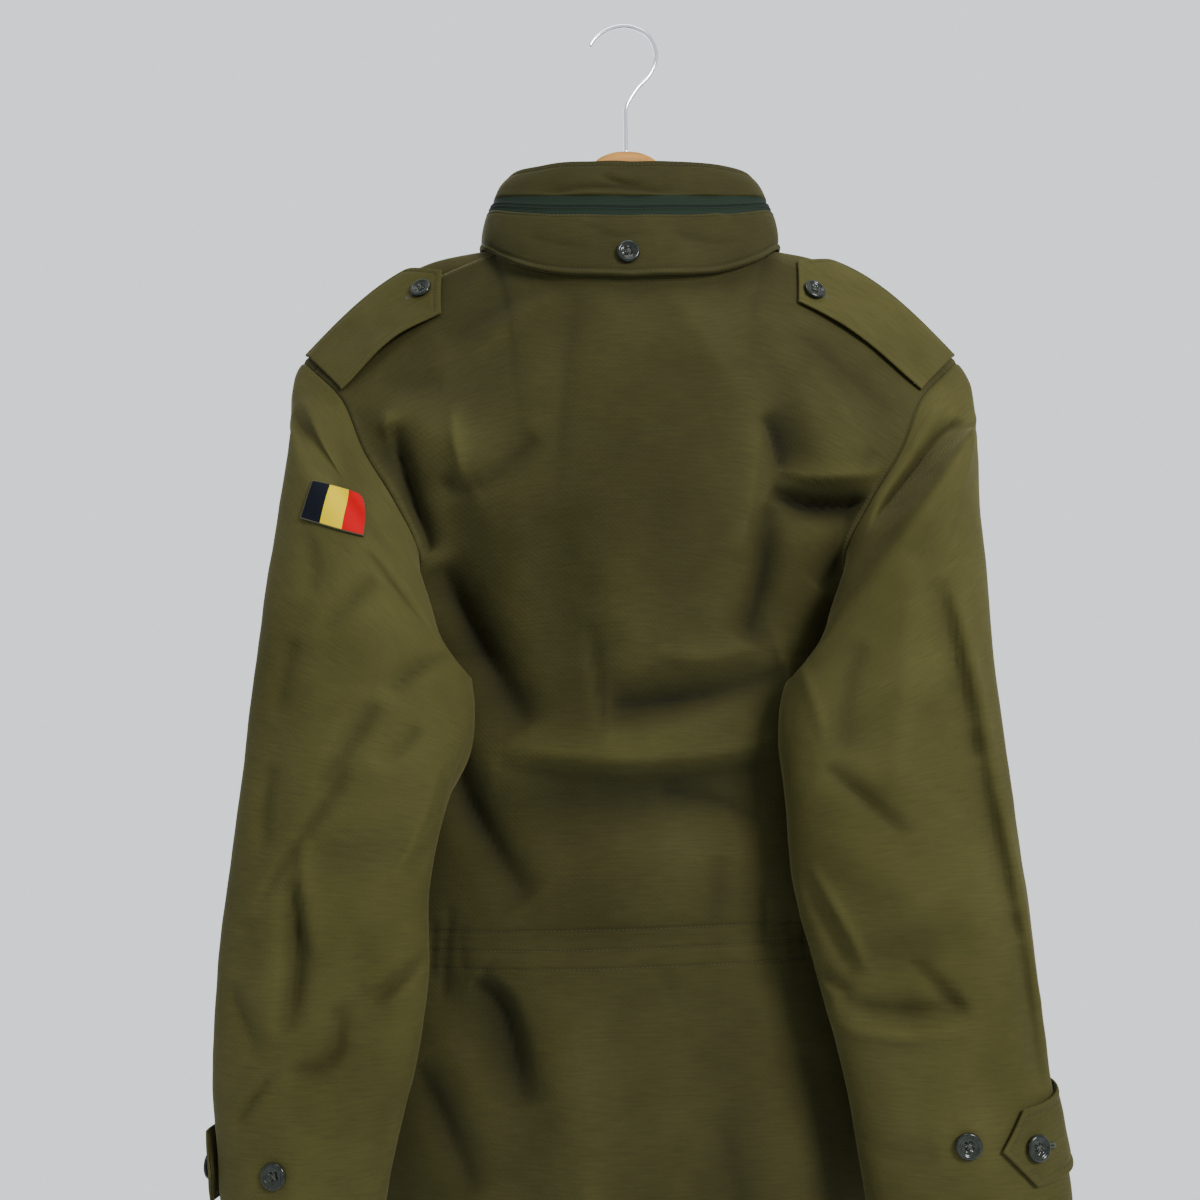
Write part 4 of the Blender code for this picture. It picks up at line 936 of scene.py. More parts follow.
def surface_frame(function, u, v, outward):
    """A point of a surface function, its normal on the outward side, and its first direction."""
    u = np.array([u])
    v = np.array([v])
    high = function(u + 1.0, v)[0]
    low = function(u - 1.0, v)[0]
    normal = unit(np.cross(high - low, function(u, v + 0.05)[0] - function(u, v - 0.05)[0]))
    if np.dot(normal, outward) < 0:
        normal = -normal
    return function(u, v)[0], normal, unit(high - low)


def waist_line(x):
    return WAIST_Z + WAIST_SLOPE * (x - MIDDLE_X)


# ---------------------------------------------------------------- cloth on a grid
def steps(*spans):
    """Values over spans that follow each other, each given as start, end and count."""
    parts = [np.linspace(start, end, count, endpoint=False) for start, end, count in spans]
    return np.concatenate([*parts, [spans[-1][1]]])


def mirrored(values):
    """Values from 0 up, after the same values below 0."""
    return np.concatenate([-values[:0:-1], values])


class Cloth:
    """A cloth piece on a grid: its points, its outward normals, and its ways along the cloth."""

    def __init__(self, surface, across, along, flip=False, ring=False):
        self.u, self.v = np.meshgrid(across, along)
        self.points = surface(self.u, self.v)
        self.flip = flip
        self.ring = ring
        self.measure()

    def measure(self):
        points = self.points
        if self.ring:
            padded = np.concatenate([points[:, -2:-1], points, points[:, 1:2]], axis=1)
            over = padded[:, 2:] - padded[:, :-2]
        else:
            over = np.gradient(points, axis=1)
        normals = unit(np.cross(over, np.gradient(points, axis=0)))
        self.normals = -normals if self.flip else normals
        across = np.linalg.norm(np.diff(points, axis=1), axis=2)
        along = np.linalg.norm(np.diff(points, axis=0), axis=2)
        self.left = np.pad(np.cumsum(across, axis=1), ((0, 0), (1, 0)))
        self.low = np.pad(np.cumsum(along, axis=0), ((1, 0), (0, 0)))
        self.right = self.left[:, -1:] - self.left
        self.high = self.low[-1:] - self.low

    def raise_by(self, height):
        """Moves the cloth out along its normals."""
        self.points = self.points + self.normals * np.broadcast_to(height, self.u.shape)[..., None]
        self.measure()

    def hollows(self):
        """How far each point stands out of (or, negative, into) the cloth around it."""
        means = self.points
        for axis in (0, 1):
            wrapped = self.ring and axis
            span = min(HOLLOW_REACH, means.shape[axis] // 2 - 1)
            pads = [(span + 1, span) if i == axis else (0, 0) for i in range(3)]
            if wrapped:
                padded = np.pad(means[:, :-1], pads, mode="wrap")
            else:
                padded = np.pad(means, pads, mode="reflect", reflect_type="odd")
            sums = np.cumsum(padded, axis=axis)
            count = 2 * span + 1
            high = np.take(sums, range(count, sums.shape[axis]), axis=axis)
            low = np.take(sums, range(sums.shape[axis] - count), axis=axis)
            means = (high - low) / count
            if wrapped:
                means = np.concatenate([means, means[:, :1]], axis=1)
        return ((self.points - means) * self.normals).sum(axis=2)

    def flat_places(self):
        """Where each point lies on the cut: across from the middle column, and up from the hem."""
        middle = self.points.shape[1] // 2
        up = np.broadcast_to(self.low[:, middle : middle + 1], self.u.shape)
        return self.left - self.left[:, middle : middle + 1], up

    def line(self, field, value, by_rows=False, keep=None):
        """The line where a field has a value: its points and the cloth's normals there."""
        points, normals = self.points, self.normals
        keep = np.ones(field.shape, dtype=bool) if keep is None else keep
        if by_rows:
            field, keep = field.T, keep.T
            points, normals = points.transpose(1, 0, 2), normals.transpose(1, 0, 2)
        above = field > value
        change = above[1:] != above[:-1]
        j = np.nonzero(change.any(axis=0))[0]
        i = change.argmax(axis=0)[j]
        j, i = j[keep[i, j]], i[keep[i, j]]
        share = (value - field[i, j]) / (field[i + 1, j] - field[i, j])
        return (
            between(points[i, j], points[i + 1, j], share),
            unit(between(normals[i, j], normals[i + 1, j], share)),
        )


def waves(points, size, height):
    """Gentle unevenness of hanging cloth, the same on each run."""
    flat = points.reshape(-1, 3) / size
    values = np.array([noise.noise(Vector(place)) for place in flat])
    return values.reshape(points.shape[:2]) * height


def seam_relief(way):
    """Cloth swells beside a seam and stays down in it."""
    return 0.0009 * (1 - bell(way, 0.0018)) * bell(way, 0.014)


def rounded_edge(way, radius):
    inside = np.clip(radius - way, 0, radius)
    return np.sqrt(radius**2 - inside**2) - radius


def edge_relief(way):
    """A stitched edge: a swell out to the stitches, and a groove at them."""
    swell = 0.0004 * np.sin(math.pi * clipped(way / EDGE_STITCH))
    return swell - 0.0006 * bell(way - EDGE_STITCH, 0.0011)


def as_mesh(name, bm):
    mesh = bpy.data.meshes.new(name)
    bm.to_mesh(mesh)
    bm.free()
    return mesh


def add_object(name, mesh, slot, *materials):
    obj = bpy.data.objects.new(name, mesh)
    bpy.context.scene.collection.objects.link(obj)
    for material in materials:
        obj.data.materials.append(material)
    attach(obj, "root")
    return obj


def sew(name, cloth, wall, material, node, slot="olive_cloth", drop=None, painted_shading=0.0, flat=None):
    """Makes the grid a mesh in place of a node, with its places on the cut as UVs.

    It gets a wall by a modifier.  A form of its own, with no wall, is closed at its ends.
    """
    rows, columns = cloth.points.shape[:2]
    bm = bmesh.new()
    cut = bm.loops.layers.uv.new("cut")
    bmesh.ops.create_grid(bm, x_segments=columns - 1, y_segments=rows - 1, size=0.5, calc_uvs=True)
    bm.verts.ensure_lookup_table()
    places = cloth.points.reshape(-1, 3)
    # painted light and shade: the cloth's hollows are painted darker and its ridges paler, shifted
    # by the piece's own painted brightness
    wear = bm.verts.layers.float.new("wear")
    hollows = cloth.hollows().ravel() * 1000 + painted_shading
    for vert in bm.verts:
        vert.co = places[vert.index]
        vert[wear] = hollows[vert.index]
    flat_u, flat_v = (field.ravel() for field in flat or cloth.flat_places())
    for face in bm.faces:
        for loop in face.loops:
            loop[cut].uv = (flat_u[loop.vert.index], flat_v[loop.vert.index])
    if drop is not None:
        drop = drop.ravel()
        gone = [face for face in bm.faces if drop[min(vert.index for vert in face.verts)]]
        bmesh.ops.delete(bm, geom=gone, context="FACES")
    if cloth.flip:
        bmesh.ops.reverse_faces(bm, faces=bm.faces)
    if cloth.ring:
        bmesh.ops.remove_doubles(bm, verts=bm.verts, dist=1e-6)
    if not wall:
        ends = [edge for edge in bm.edges if edge.is_boundary]
        bmesh.ops.holes_fill(bm, edges=ends, sides=0)
        bmesh.ops.recalc_face_normals(bm, faces=bm.faces)
    mesh = as_mesh(name, bm)
    mesh.shade_smooth()
    obj = add_object(name, mesh, slot, material)
    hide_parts(node)
    if wall:
        solidify = obj.modifiers.new("wall", "SOLIDIFY")
        solidify.thickness = wall
        solidify.offset = -1
    return obj


def along_line(line, pitch):
    """Evenly spaced places on a line: points, directions and normals."""
    points, normals = line
    way = np.concatenate([[0], np.cumsum(np.linalg.norm(np.diff(points, axis=0), axis=1))])
    count = max(2, int(way[-1] / pitch))
    at = (np.arange(count) + 0.5) * way[-1] / count
    places, outward = (
        np.stack([np.interp(at, way, field[:, axis]) for axis in range(3)], axis=1)
        for field in (points, normals)
    )
    return places, unit(np.gradient(places, axis=0)), unit(outward)


def joined(name, rings, sets, sizes, material, sink=0.0, slot="olive_cloth"):
    """One mesh of many small rounded forms: each as long, wide and high as sizes says."""
    bm = bmesh.new()
    bmesh.ops.create_uvsphere(bm, u_segments=6, v_segments=rings, radius=0.5)
    bm.verts.ensure_lookup_table()
    corners = np.array([vert.co[:] for vert in bm.verts]) * np.array(sizes)
    faces = [[vert.index for vert in face.verts] for face in bm.faces]
    bm.free()
    points = []
    for places, directions, normals in sets:
        frames = np.stack([directions, np.cross(normals, directions), normals], axis=1)
        middle = places + normals * (sizes[2] / 2 - sink)
        form = np.einsum("ck,nkx->ncx", corners, frames) + middle[:, None]
        points.append(form.reshape(-1, 3))
    points = np.concatenate(points)
    starts = range(0, len(points), len(corners))
    mesh = bpy.data.meshes.new(name)
    all_faces = [[corner + start for corner in face] for start in starts for face in faces]
    mesh.from_pydata(points.tolist(), [], all_faces)
    mesh.shade_smooth()
    return add_object(name, mesh, slot, material)


def stitches(name, rows, settings):
    """Rows of lockstitch, one small rounded form a stitch."""
    thread = settings.thread_width
    sets = [along_line(row, STITCH_PITCH) for row in rows if len(row[0]) > 2]
    sizes = (STITCH_LENGTH, thread, thread)
    return joined(name, 3, sets, sizes, thread_material(settings), thread * 0.35)


# ---------------------------------------------------------------- materials
def add_node(material, kind, sockets=None, **options):
    """Adds a node with its options; each socket gets a value, or a link from another's output."""
    node = material.node_tree.nodes.new("ShaderNode" + kind)
    for name, value in options.items():
        setattr(node, name, value)
    for name, value in (sockets or {}).items():
        if isinstance(value, bpy.types.NodeSocket):
            material.node_tree.links.new(value, node.inputs[name])
        else:
            node.inputs[name].default_value = value
    return node.outputs


def new_material(name, **values):
    """A material with constant values on its shader's own sockets."""
    material = bpy.data.materials.new(name)
    material.use_nodes = True
    for socket, value in values.items():
        shader_socket(material, socket.replace("_", " ")).default_value = value
    return material


def shader_socket(material, name):
    return material.node_tree.nodes["Principled BSDF"].inputs[name]


def patterned(material, colour, bump=None):
    """Links a pattern's colour, and its bump where it has one, to the shader."""
    material.node_tree.links.new(colour[2], shader_socket(material, "Base Color"))
    if bump:
        material.node_tree.links.new(bump["Normal"], shader_socket(material, "Normal"))
    return material


def opaque(colour, share=1):
    return (*(channel * share for channel in colour), 1)


def blended(material, pattern, reach, first, second):
    """One colour fading to another over the pattern's reach."""
    spans = {"From Min": reach[0], "From Max": reach[1]}
    fade = add_node(material, "MapRange", {"Value": pattern, **spans})["Result"]
    colours = {6: opaque(first), 7: opaque(second)}
    return add_node(material, "Mix", {0: fade, **colours}, data_type="RGBA")


def finish(name):
    """Names a material, which is made once for all the pieces that share it."""

    def wrap(make):
        return lambda settings: bpy.data.materials.get(name) or make(settings, name)

    return wrap


@finish("cotton twill, piece-dyed")
def twill_material(settings, name):
    """Cotton twill, piece-dyed: matte, with fine diagonal ribs, slubs, paler worn patches, and
    painted shade in the hollows of its folds and painted light on their ridges.
    """
    twill = new_material(
        name,
        Roughness=0.88,
        Specular_IOR_Level=0.10,
        Sheen_Weight=0.13,
        Sheen_Roughness=0.35,
        Sheen_Tint=opaque(linear("#b7ad7c")),
    )
    place = add_node(twill, "TexCoord")["Object"]
    cut = add_node(twill, "UVMap", uv_map="cut")["UV"]
    # fading: patches about 120 mm across
    patches = add_node(
        twill, "TexNoise", {"Vector": place, "Scale": 8.0, "Detail": 3.0, "Roughness": 0.55}
    )
    base = blended(
        twill, patches["Fac"], (0.35, 0.68), settings.cloth_colour, settings.faded_colour
    )
    # slubs: streaks 1.5 mm high and 20 mm long across the cut, coarser than the yarn to show
    stretch = add_node(twill, "Mapping", {"Vector": cut, "Scale": (50.0, 650.0, 1.0)})
    slubs = {"Vector": stretch["Vector"], "Scale": 1.0, "Detail": 2.0, "Roughness": 0.6}
    slubs = add_node(twill, "TexNoise", slubs)["Fac"]
    reach = {"From Min": 0.3, "From Max": 0.7, "To Min": 0.88, "To Max": 1.12}
    streak = add_node(twill, "MapRange", {"Value": slubs, **reach})
    # painted shade in the hollows of the folds and painted light on their ridges, on top of each
    # piece's painted brightness
    wear = add_node(twill, "Attribute", attribute_name="wear")["Fac"]
    reach = {"From Min": -12.0, "From Max": 8.0, "To Min": 0.28, "To Max": 1.48}
    painted_shading = add_node(twill, "MapRange", {"Value": wear, **reach})
    tone = add_node(twill, "Math", {0: streak["Result"], 1: painted_shading["Result"]}, operation="MULTIPLY")
    colour = add_node(
        twill, "Mix", {0: 1.0, 6: base[2], 7: tone[0]}, data_type="RGBA", blend_type="MULTIPLY"
    )
    # ribs: the yarn's 0.6 mm is too fine to show, so they stand 1.3 mm apart
    rib_scale = 0.314 / settings.rib_spacing / 1.7
    ribs = {"Vector": cut, "Scale": rib_scale, "Distortion": 0.6, "Detail": 1.0}
    ribs = add_node(twill, "TexWave", ribs, wave_type="BANDS", bands_direction="DIAGONAL")
    crumple = add_node(
        twill, "TexNoise", {"Vector": place, "Scale": 95.0, "Detail": 3.0, "Roughness": 0.6}
    )
    bump = add_node(twill, "Bump", {"Height": ribs["Fac"], "Strength": 0.16, "Distance": 0.0003})
    crumpled = {"Height": crumple["Fac"], "Normal": bump["Normal"], "Strength": 0.35}
    bump = add_node(twill, "Bump", {**crumpled, "Distance": 0.0012})
    return patterned(twill, colour, bump)


@finish("sewing thread, spun polyester")
def thread_material(settings, name):
    """Polyester sewing thread, spun: a little paler and shinier than the cloth."""
    colour = opaque(settings.thread_colour)
    return new_material(name, Roughness=0.6, Specular_IOR_Level=0.35, Base_Color=colour)


@finish("zip tape, woven polyester")
def tape_material(settings, name):
    """Zip tape, woven polyester: dark green with fine lengthwise ribs and a faint shine."""
    tape = new_material(name, Roughness=0.85, Specular_IOR_Level=0.12)
    cut = add_node(tape, "UVMap", uv_map="cut")["UV"]
    turn = add_node(tape, "Mapping", {"Vector": cut, "Scale": (0.0, 1.0, 0.0)})
    # tape ribs 1.4 mm apart
    ribs = {"Vector": turn["Vector"], "Scale": 224.0}
    ribs = add_node(tape, "TexWave", ribs, wave_type="BANDS", bands_direction="Y")["Fac"]
    # painted shade: the tape is painted darker in the grooves between its ribs
    colours = {6: opaque(settings.tape_colour, 0.45), 7: opaque(settings.tape_colour)}
    colour = add_node(tape, "Mix", {0: ribs, **colours}, data_type="RGBA")
    bump = add_node(tape, "Bump", {"Height": ribs, "Strength": 0.4, "Distance": 0.0004})
    return patterned(tape, colour, bump)


@finish("zip coil, nylon")
def coil_material(settings, name):
    """Nylon coil, moulded: near black green with a soft shine."""
    colour = opaque(settings.tape_colour, 0.35)
    return new_material(name, Roughness=0.6, Specular_IOR_Level=0.2, Base_Color=colour)


@finish("button, polished polyester")
def button_material(settings, name):
    """Polyester button, cast and polished: dark green with grey clouds under a clear gloss."""
    resin = new_material(name, Roughness=0.16, Specular_IOR_Level=0.22)
    place = add_node(resin, "TexCoord")["Object"]
    # clouds about 4 mm across
    clouds = add_node(
        resin, "TexNoise", {"Vector": place, "Scale": 230.0, "Detail": 3.0, "Distortion": 1.2}
    )
    colours = settings.button_colour, settings.cloud_colour
    return patterned(resin, blended(resin, clouds["Fac"], (0.42, 0.7), *colours))


@finish("buttonhole thread")
def hole_thread_material(settings, name):
    """Buttonhole thread: dark green, spun."""
    return new_material(name, Roughness=0.7, Base_Color=opaque(settings.hole_thread_colour))


@finish("badge, woven satin")
def flag_material(settings, name):
    """Woven satin badge: upright bands of black, yellow and red in an olive border."""
    satin = new_material(name, Roughness=0.75, Specular_IOR_Level=0.05)
    cut = add_node(satin, "UVMap", uv_map="cut")["UV"]
    across = add_node(satin, "SeparateXYZ", {"Vector": cut})["X"]
    colour = opaque(linear("#0a0c13"))
    for edge, band in ((-0.19, "#a89200"), (0.16, "#8e0009")):
        sockets = {0: across, 1: edge * PATCH_SIZE[0]}
        past = add_node(satin, "Math", sockets, operation="GREATER_THAN")[0]
        sockets = {0: past, 6: colour, 7: opaque(linear(band))}
        colour = add_node(satin, "Mix", sockets, data_type="RGBA")[2]
    # weft ribs 0.9 mm apart
    ribs = add_node(
        satin, "TexWave", {"Vector": cut, "Scale": 349.0}, wave_type="BANDS", bands_direction="Y"
    )
    shade = add_node(satin, "MapRange", {"Value": ribs["Fac"], "To Min": 0.86, "To Max": 1.0})
    shaded = {0: 1.0, 6: colour, 7: shade["Result"]}
    colour = add_node(satin, "Mix", shaded, data_type="RGBA", blend_type="MULTIPLY")
    return patterned(satin, colour)


@finish("beech, varnished")
def beech_material(settings, name):
    """Beech, sanded and varnished: pale honey with long fine grain and short dark flecks."""
    beech = new_material(
        name, Roughness=0.55, Specular_IOR_Level=0.25, Coat_Weight=0.08, Coat_Roughness=0.2
    )
    place = add_node(beech, "TexCoord")["Object"]
    stretch = add_node(beech, "Mapping", {"Vector": place, "Scale": (6.0, 90.0, 90.0)})
    # grain lines about 4 mm apart
    grain = {"Vector": stretch["Vector"], "Scale": 2.6, "Detail": 5.0, "Distortion": 0.4}
    grain = add_node(beech, "TexNoise", grain)
    colours = settings.beech_colour, linear("#744a0e")
    return patterned(beech, blended(beech, grain["Fac"], (0.35, 0.7), *colours))


@finish("steel wire, chrome-plated")
def wire_material(settings, name):
    """Steel wire, drawn and chrome-plated: bright, with a faint blue."""
    return new_material(name, Roughness=0.14, Metallic=1.0, Base_Color=opaque(linear("#c9ccd0")))


# ---------------------------------------------------------------- settings
def colour_property(name, description, default):
    return FloatVectorProperty(
        name=name, description=description, subtype="COLOR", min=0, max=1, default=linear(default)
    )


class FieldJacketSettings(bpy.types.PropertyGroup):
    """Sizes and colours that a user would change."""

    cloth_colour: colour_property("Cloth", "Olive of the twill", "#23210b")
    faded_colour: colour_property("Faded cloth", "Olive where the twill has worn paler", "#2b2912")
    thread_colour: colour_property("Thread", "Sewing thread", "#2b2a13")
    hole_thread_colour: colour_property(
        "Buttonhole thread", "Thread of the buttonholes and buttons", "#1b2115"
    )
    tape_colour: colour_property("Zip tape", "Green of the zip", "#121e14")
    button_colour: colour_property("Buttons", "Dark green", "#0f120e")
    cloud_colour: colour_property("Button clouds", "Paler grey", "#1d211b")
    beech_colour: colour_property("Beech", "Varnished wood", "#926410")
    room_colour: colour_property("Room", "Pale wall and floor", "#d8dde0")
    rib_spacing: FloatProperty(
        name="Rib spacing",
        description="Twill ribs, as coarse as shows",
        unit="LENGTH",
        default=0.0013,
    )
    thread_width: FloatProperty(
        name="Thread width", description="Sewing thread", unit="LENGTH", default=0.00045
    )


# ---------------------------------------------------------------- relief of the cloth
def cloth_relief(cloth):
    return waves(cloth.points, 0.055, 0.0011) + waves(cloth.points, 0.019, 0.0005)


def waist_relief(points):
    """Grooves of the channel's stitch rows, with the cloth swollen between them."""
    above = points[..., 2] - waist_line(points[..., 0])
    total = 0.0006 * bell(above, 0.016)
    for row in WAIST_ROWS:
        total = total - 0.0009 * bell(above - row, 0.0013)
    return total


def waist_rows(cloth, inset):
    above = cloth.points[..., 2] - waist_line(cloth.points[..., 0])
    keep = least(cloth.left, cloth.right) > inset
    return [cloth.line(above, row, keep=keep) for row in WAIST_ROWS]


def hem_relief(way):
    swell = 0.0005 * (1 - ramp(way, HEM_DEPTH, HEM_DEPTH + 0.003))
    return swell - 0.0007 * bell(way - HEM_DEPTH, 0.0014)


def neck_relief(cloth, below):
    """The neck edge turned out under the collar, by how far below that edge the cloth lies."""
    at_neck = 1 - ramp(np.abs(cloth.u), NECK_COLUMN - 0.06, NECK_COLUMN)
    return NECK_TURN_UP * at_neck * (1 - ramp(below, 0.0, 0.007))


def panel_relief(cloth, seams, inner=1.0):
    """A panel's unevenness, less where inner is under 1, and its seams, hem and waist."""
    height = cloth_relief(cloth) * ramp(seams, 0.0, 0.012) * inner
    height = height + seam_relief(seams) + hem_relief(cloth.low) + waist_relief(cloth.points)
    return height * ramp(seams, 0.0, 0.0025)


def flap(settings, kind, name, cloth, end, lift, painted_shading):
    """A strap or tab, stitched along its edges and its free end."""
    wall, slant, size, height, inset = FLAPS[kind]
    edges = least(cloth.low, cloth.high, getattr(cloth, end) * slant)
    height = waves(cloth.points, size, height) * ramp(edges, 0.004, inset)
    cloth.raise_by(lift + wall + rounded_edge(edges, 0.0010) + edge_relief(edges) + height)
    material = twill_material(settings)
    obj = sew(f"{kind}_cloth_{name}", cloth, wall, material, f"{kind}_{name}", painted_shading=painted_shading)
    way = getattr(cloth, end)
    edge = EDGE_STITCH / slant
    rows = [cloth.line(long, EDGE_STITCH, keep=way > edge) for long in (cloth.low, cloth.high)]
    between_rows = least(cloth.low, cloth.high) > EDGE_STITCH
    rows.append(cloth.line(way, edge, by_rows=True, keep=between_rows))
    return obj, stitches(f"{kind}_stitches_{name}", rows, settings)


# ---------------------------------------------------------------- operators
class FIELDJACKET_OT_back(bpy.types.Operator):
    """Back panel with its folds, drawcord channel and hem"""

    bl_idname = "field_jacket.back"
    bl_label = "Back panel"

    def execute(self, context):
        settings = context.scene.field_jacket
        levels = steps(*BODY_SPANS, (1, 1.93, 82), (1.93, 2, 7))
        cloth = Cloth(back_panel, mirrored(steps(*HALF_SPANS)), levels)
        seams = least(cloth.left, cloth.right, cloth.high)
        cloth.raise_by(panel_relief(cloth, seams) + neck_relief(cloth, cloth.high))
        # the back is painted darker: painted shade where the sleeves hang in front of it
        obj = sew("back_cloth", cloth, CLOTH, twill_material(settings), "back", painted_shading=-2.0)
        rows = [*waist_rows(cloth, 0.004), cloth.line(cloth.low, HEM_DEPTH)]
        keep = (cloth.v > 1.0) & (cloth.v < 1.97)
        for way in (cloth.left, cloth.right):
            rows.append(cloth.line(way, SEAM_STITCH, by_rows=True, keep=keep))
        for side in (-1, 1):
            rows.append(cloth.line(cloth.high, SEAM_STITCH, keep=side * cloth.u > NECK_COLUMN))
        sewing = stitches("back_stitches", rows, settings)
        return {"FINISHED"}


class FIELDJACKET_OT_fronts(bpy.types.Operator):
    """Front panels, which run up over the shoulders, and the fly over their closing edge"""

    bl_idname = "field_jacket.fronts"
    bl_label = "Fronts and fly"

    def execute(self, context):
        settings = context.scene.field_jacket
        twill = twill_material(settings)
        levels = steps(*BODY_SPANS, (1, TURN_LEVEL, 66), (TURN_LEVEL, 1.985, 24), (1.985, 2, 4))
        neck_row = np.searchsorted(levels, TURN_LEVEL - 1e-6)
        for side, name in SIDE_NAMES:
            cloth = Cloth(partial(front_panel, side), steps(*HALF_SPANS), levels, flip=side > 0)
            seams = least(cloth.right, cloth.high)
            height = panel_relief(cloth, seams, ramp(cloth.left, 0.0, 0.02))
            height = height * ramp(cloth.left, 0.026, 0.036)
            below = np.abs(cloth.low[neck_row] - cloth.low)
            cloth.raise_by(height + neck_relief(cloth, below))
            drop = (cloth.u < NECK_COLUMN - 1e-6) & (cloth.v > TURN_LEVEL - 1e-6)
            obj = sew("front_cloth_" + name, cloth, CLOTH, twill, "front_" + name, drop=drop)
            rows = [*waist_rows(cloth, 0.034), cloth.line(cloth.low, HEM_DEPTH)]
            keep = (cloth.v > 1.0) & (cloth.v < 1.98)
            rows.append(cloth.line(cloth.right, SEAM_STITCH, by_rows=True, keep=keep))
            sewing = stitches("front_stitches_" + name, rows, settings)
        edge = FLY_HALF_WIDTH
        across = steps((-edge, -0.031, 3), (-0.031, 0.031, 26), (0.031, edge, 3))
        cloth = Cloth(fly_surface, across, steps((0.004, FLY_TOP_LEVEL, 190)), flip=True)
        sides = least(cloth.left, cloth.right)
        edges = least(sides, cloth.low, cloth.high)
        height = 0.0008 + FLY_WALL + edge_relief(sides) + rounded_edge(edges, 0.0009)
        cloth.raise_by(height + 0.0005 * np.sin(cloth.low / 0.021) * bell(sides, 0.012))
        obj = sew("fly_cloth", cloth, FLY_WALL, twill, "front_fly")
        ways = ((cloth.left, EDGE_STITCH), (cloth.right, EDGE_STITCH), (cloth.left, 0.020))
        rows = [cloth.line(way, inset, by_rows=True) for way, inset in ways]
        sewing = stitches("fly_stitches", rows, settings)
        return {"FINISHED"}


class FIELDJACKET_OT_sleeves(bpy.types.Operator):
    """Sleeves from the armholes to the cuffs"""

    bl_idname = "field_jacket.sleeves"
    bl_label = "Sleeves"

    def execute(self, context):
        settings = context.scene.field_jacket
        twill = twill_material(settings)
        angles = np.linspace(180, 540, 109)
        stations = steps((0, 0.06, 6), (0.06, 2, 62), (2, 8.97, 120), (8.97, 9, 2))
        for side, name in SIDE_NAMES:
            cloth = Cloth(partial(sleeve, side), angles, stations, flip=side > 0, ring=True)
            height = cloth_relief(cloth)
            height = (height + height[:, ::-1]) / 2 * ramp(cloth.low, 0.0, 0.012)
            height = height + seam_relief(cloth.low) * ramp(cloth.low, 0.0, 0.0025)
            cloth.raise_by(height + hem_relief(cloth.high))
            # the sleeves are painted paler: painted light on the parts that stand out into the room
            obj = sew("sleeve_cloth_" + name, cloth, CLOTH, twill, "sleeve_" + name, painted_shading=5.2)
            rows = [cloth.line(cloth.high, HEM_DEPTH)]
            sewing = stitches("sleeve_stitches_" + name, rows, settings)
        return {"FINISHED"}


class FIELDJACKET_OT_collar(bpy.types.Operator):
    """Stand-up collar: lower band, closed zip and folded upper band"""

    bl_idname = "field_jacket.collar"
    bl_label = "Collar and zip"

    def execute(self, context):
        settings = context.scene.field_jacket
        twill = twill_material(settings)
        end = COLLAR_END_ANGLE
        angles = steps((-end, -end + 3, 6), (-end + 3, end - 3, 250), (end - 3, end, 6))
        # lower band: a piped lower edge and a folded upper one
        heights = steps((0, 0.02, 5), (0.02, 0.08, 6), (0.08, 0.47, 26), (0.47, 0.514, 9))
        cloth = Cloth(collar, angles, heights)
        low, high = cloth.low, cloth.high
        height = rounded_edge(least(low, high), 0.0018) + 0.0014 * bell(low - 0.0022, 0.0022)
        height = height - 0.0008 * bell(low - PIPING_STITCH, 0.0012)
        height = height - 0.0004 * bell(high - ZIP_STITCH, 0.0009)
        height = height + collar_creases(cloth) + waves(cloth.points, 0.030, 0.0011)
        cloth.raise_by(height)
        # the collar is painted darker: painted shade
        lower = sew("collar_lower_cloth", cloth, 0.0040, twill, "collar_lower", painted_shading=-3.6)
        rows = [cloth.line(cloth.low, PIPING_STITCH), cloth.line(cloth.high, ZIP_STITCH)]
        # upper band, folded over the zip
        heights = steps((0.676, 0.70, 7), (0.70, 0.90, 16), (0.90, 0.965, 8), (0.965, 1.0, 10))
        cloth = Cloth(collar, angles, heights)
        low, high = cloth.low, cloth.high
        height = rounded_edge(least(low, high), 0.0022) - 0.0007 * bell(high - TOP_STITCH, 0.0012)
        height = height + collar_creases(cloth) * ramp(low, 0.0, 0.004)
        cloth.raise_by(height + waves(cloth.points, 0.028, 0.0012))
        # the collar is painted darker: painted shade
        upper = sew("collar_upper_cloth", cloth, 0.0048, twill, "collar_upper", painted_shading=-4.2)
        rows.append(cloth.line(cloth.high, TOP_STITCH))
        sewing = stitches("collar_stitches", rows, settings)
        self.make_zip(settings, angles)
        return {"FINISHED"}

    def make_zip(self, settings, angles):
        """Tape on both sides of a closed coil, which runs below the band's middle."""
        cloth = Cloth(collar, angles, steps((0.505, 0.69, 30)))
        from_coil = cloth.low - 0.42 * cloth.low[-1:]
        ridges = 0.0009 * (bell(from_coil - 0.0016, 0.0011) + bell(from_coil + 0.0016, 0.0011))
        cloth.raise_by(-0.0014 + ridges - 0.0006 * bell(from_coil, 0.0005))
        woven = tape_material(settings)
        tape = sew("zip_tape_cloth", cloth, 0.0022, woven, "collar_zip", "zip_tape")
        places, directions, normals = along_line(cloth.line(from_coil, 0.0), 0.00125)
        turns = [(places, np.cross(normals, directions), normals)]
        coil = coil_material(settings)
        teeth = joined("zip_coil", 3, turns, (0.0024, 0.0007, 0.0008), coil, slot="zip_tape")


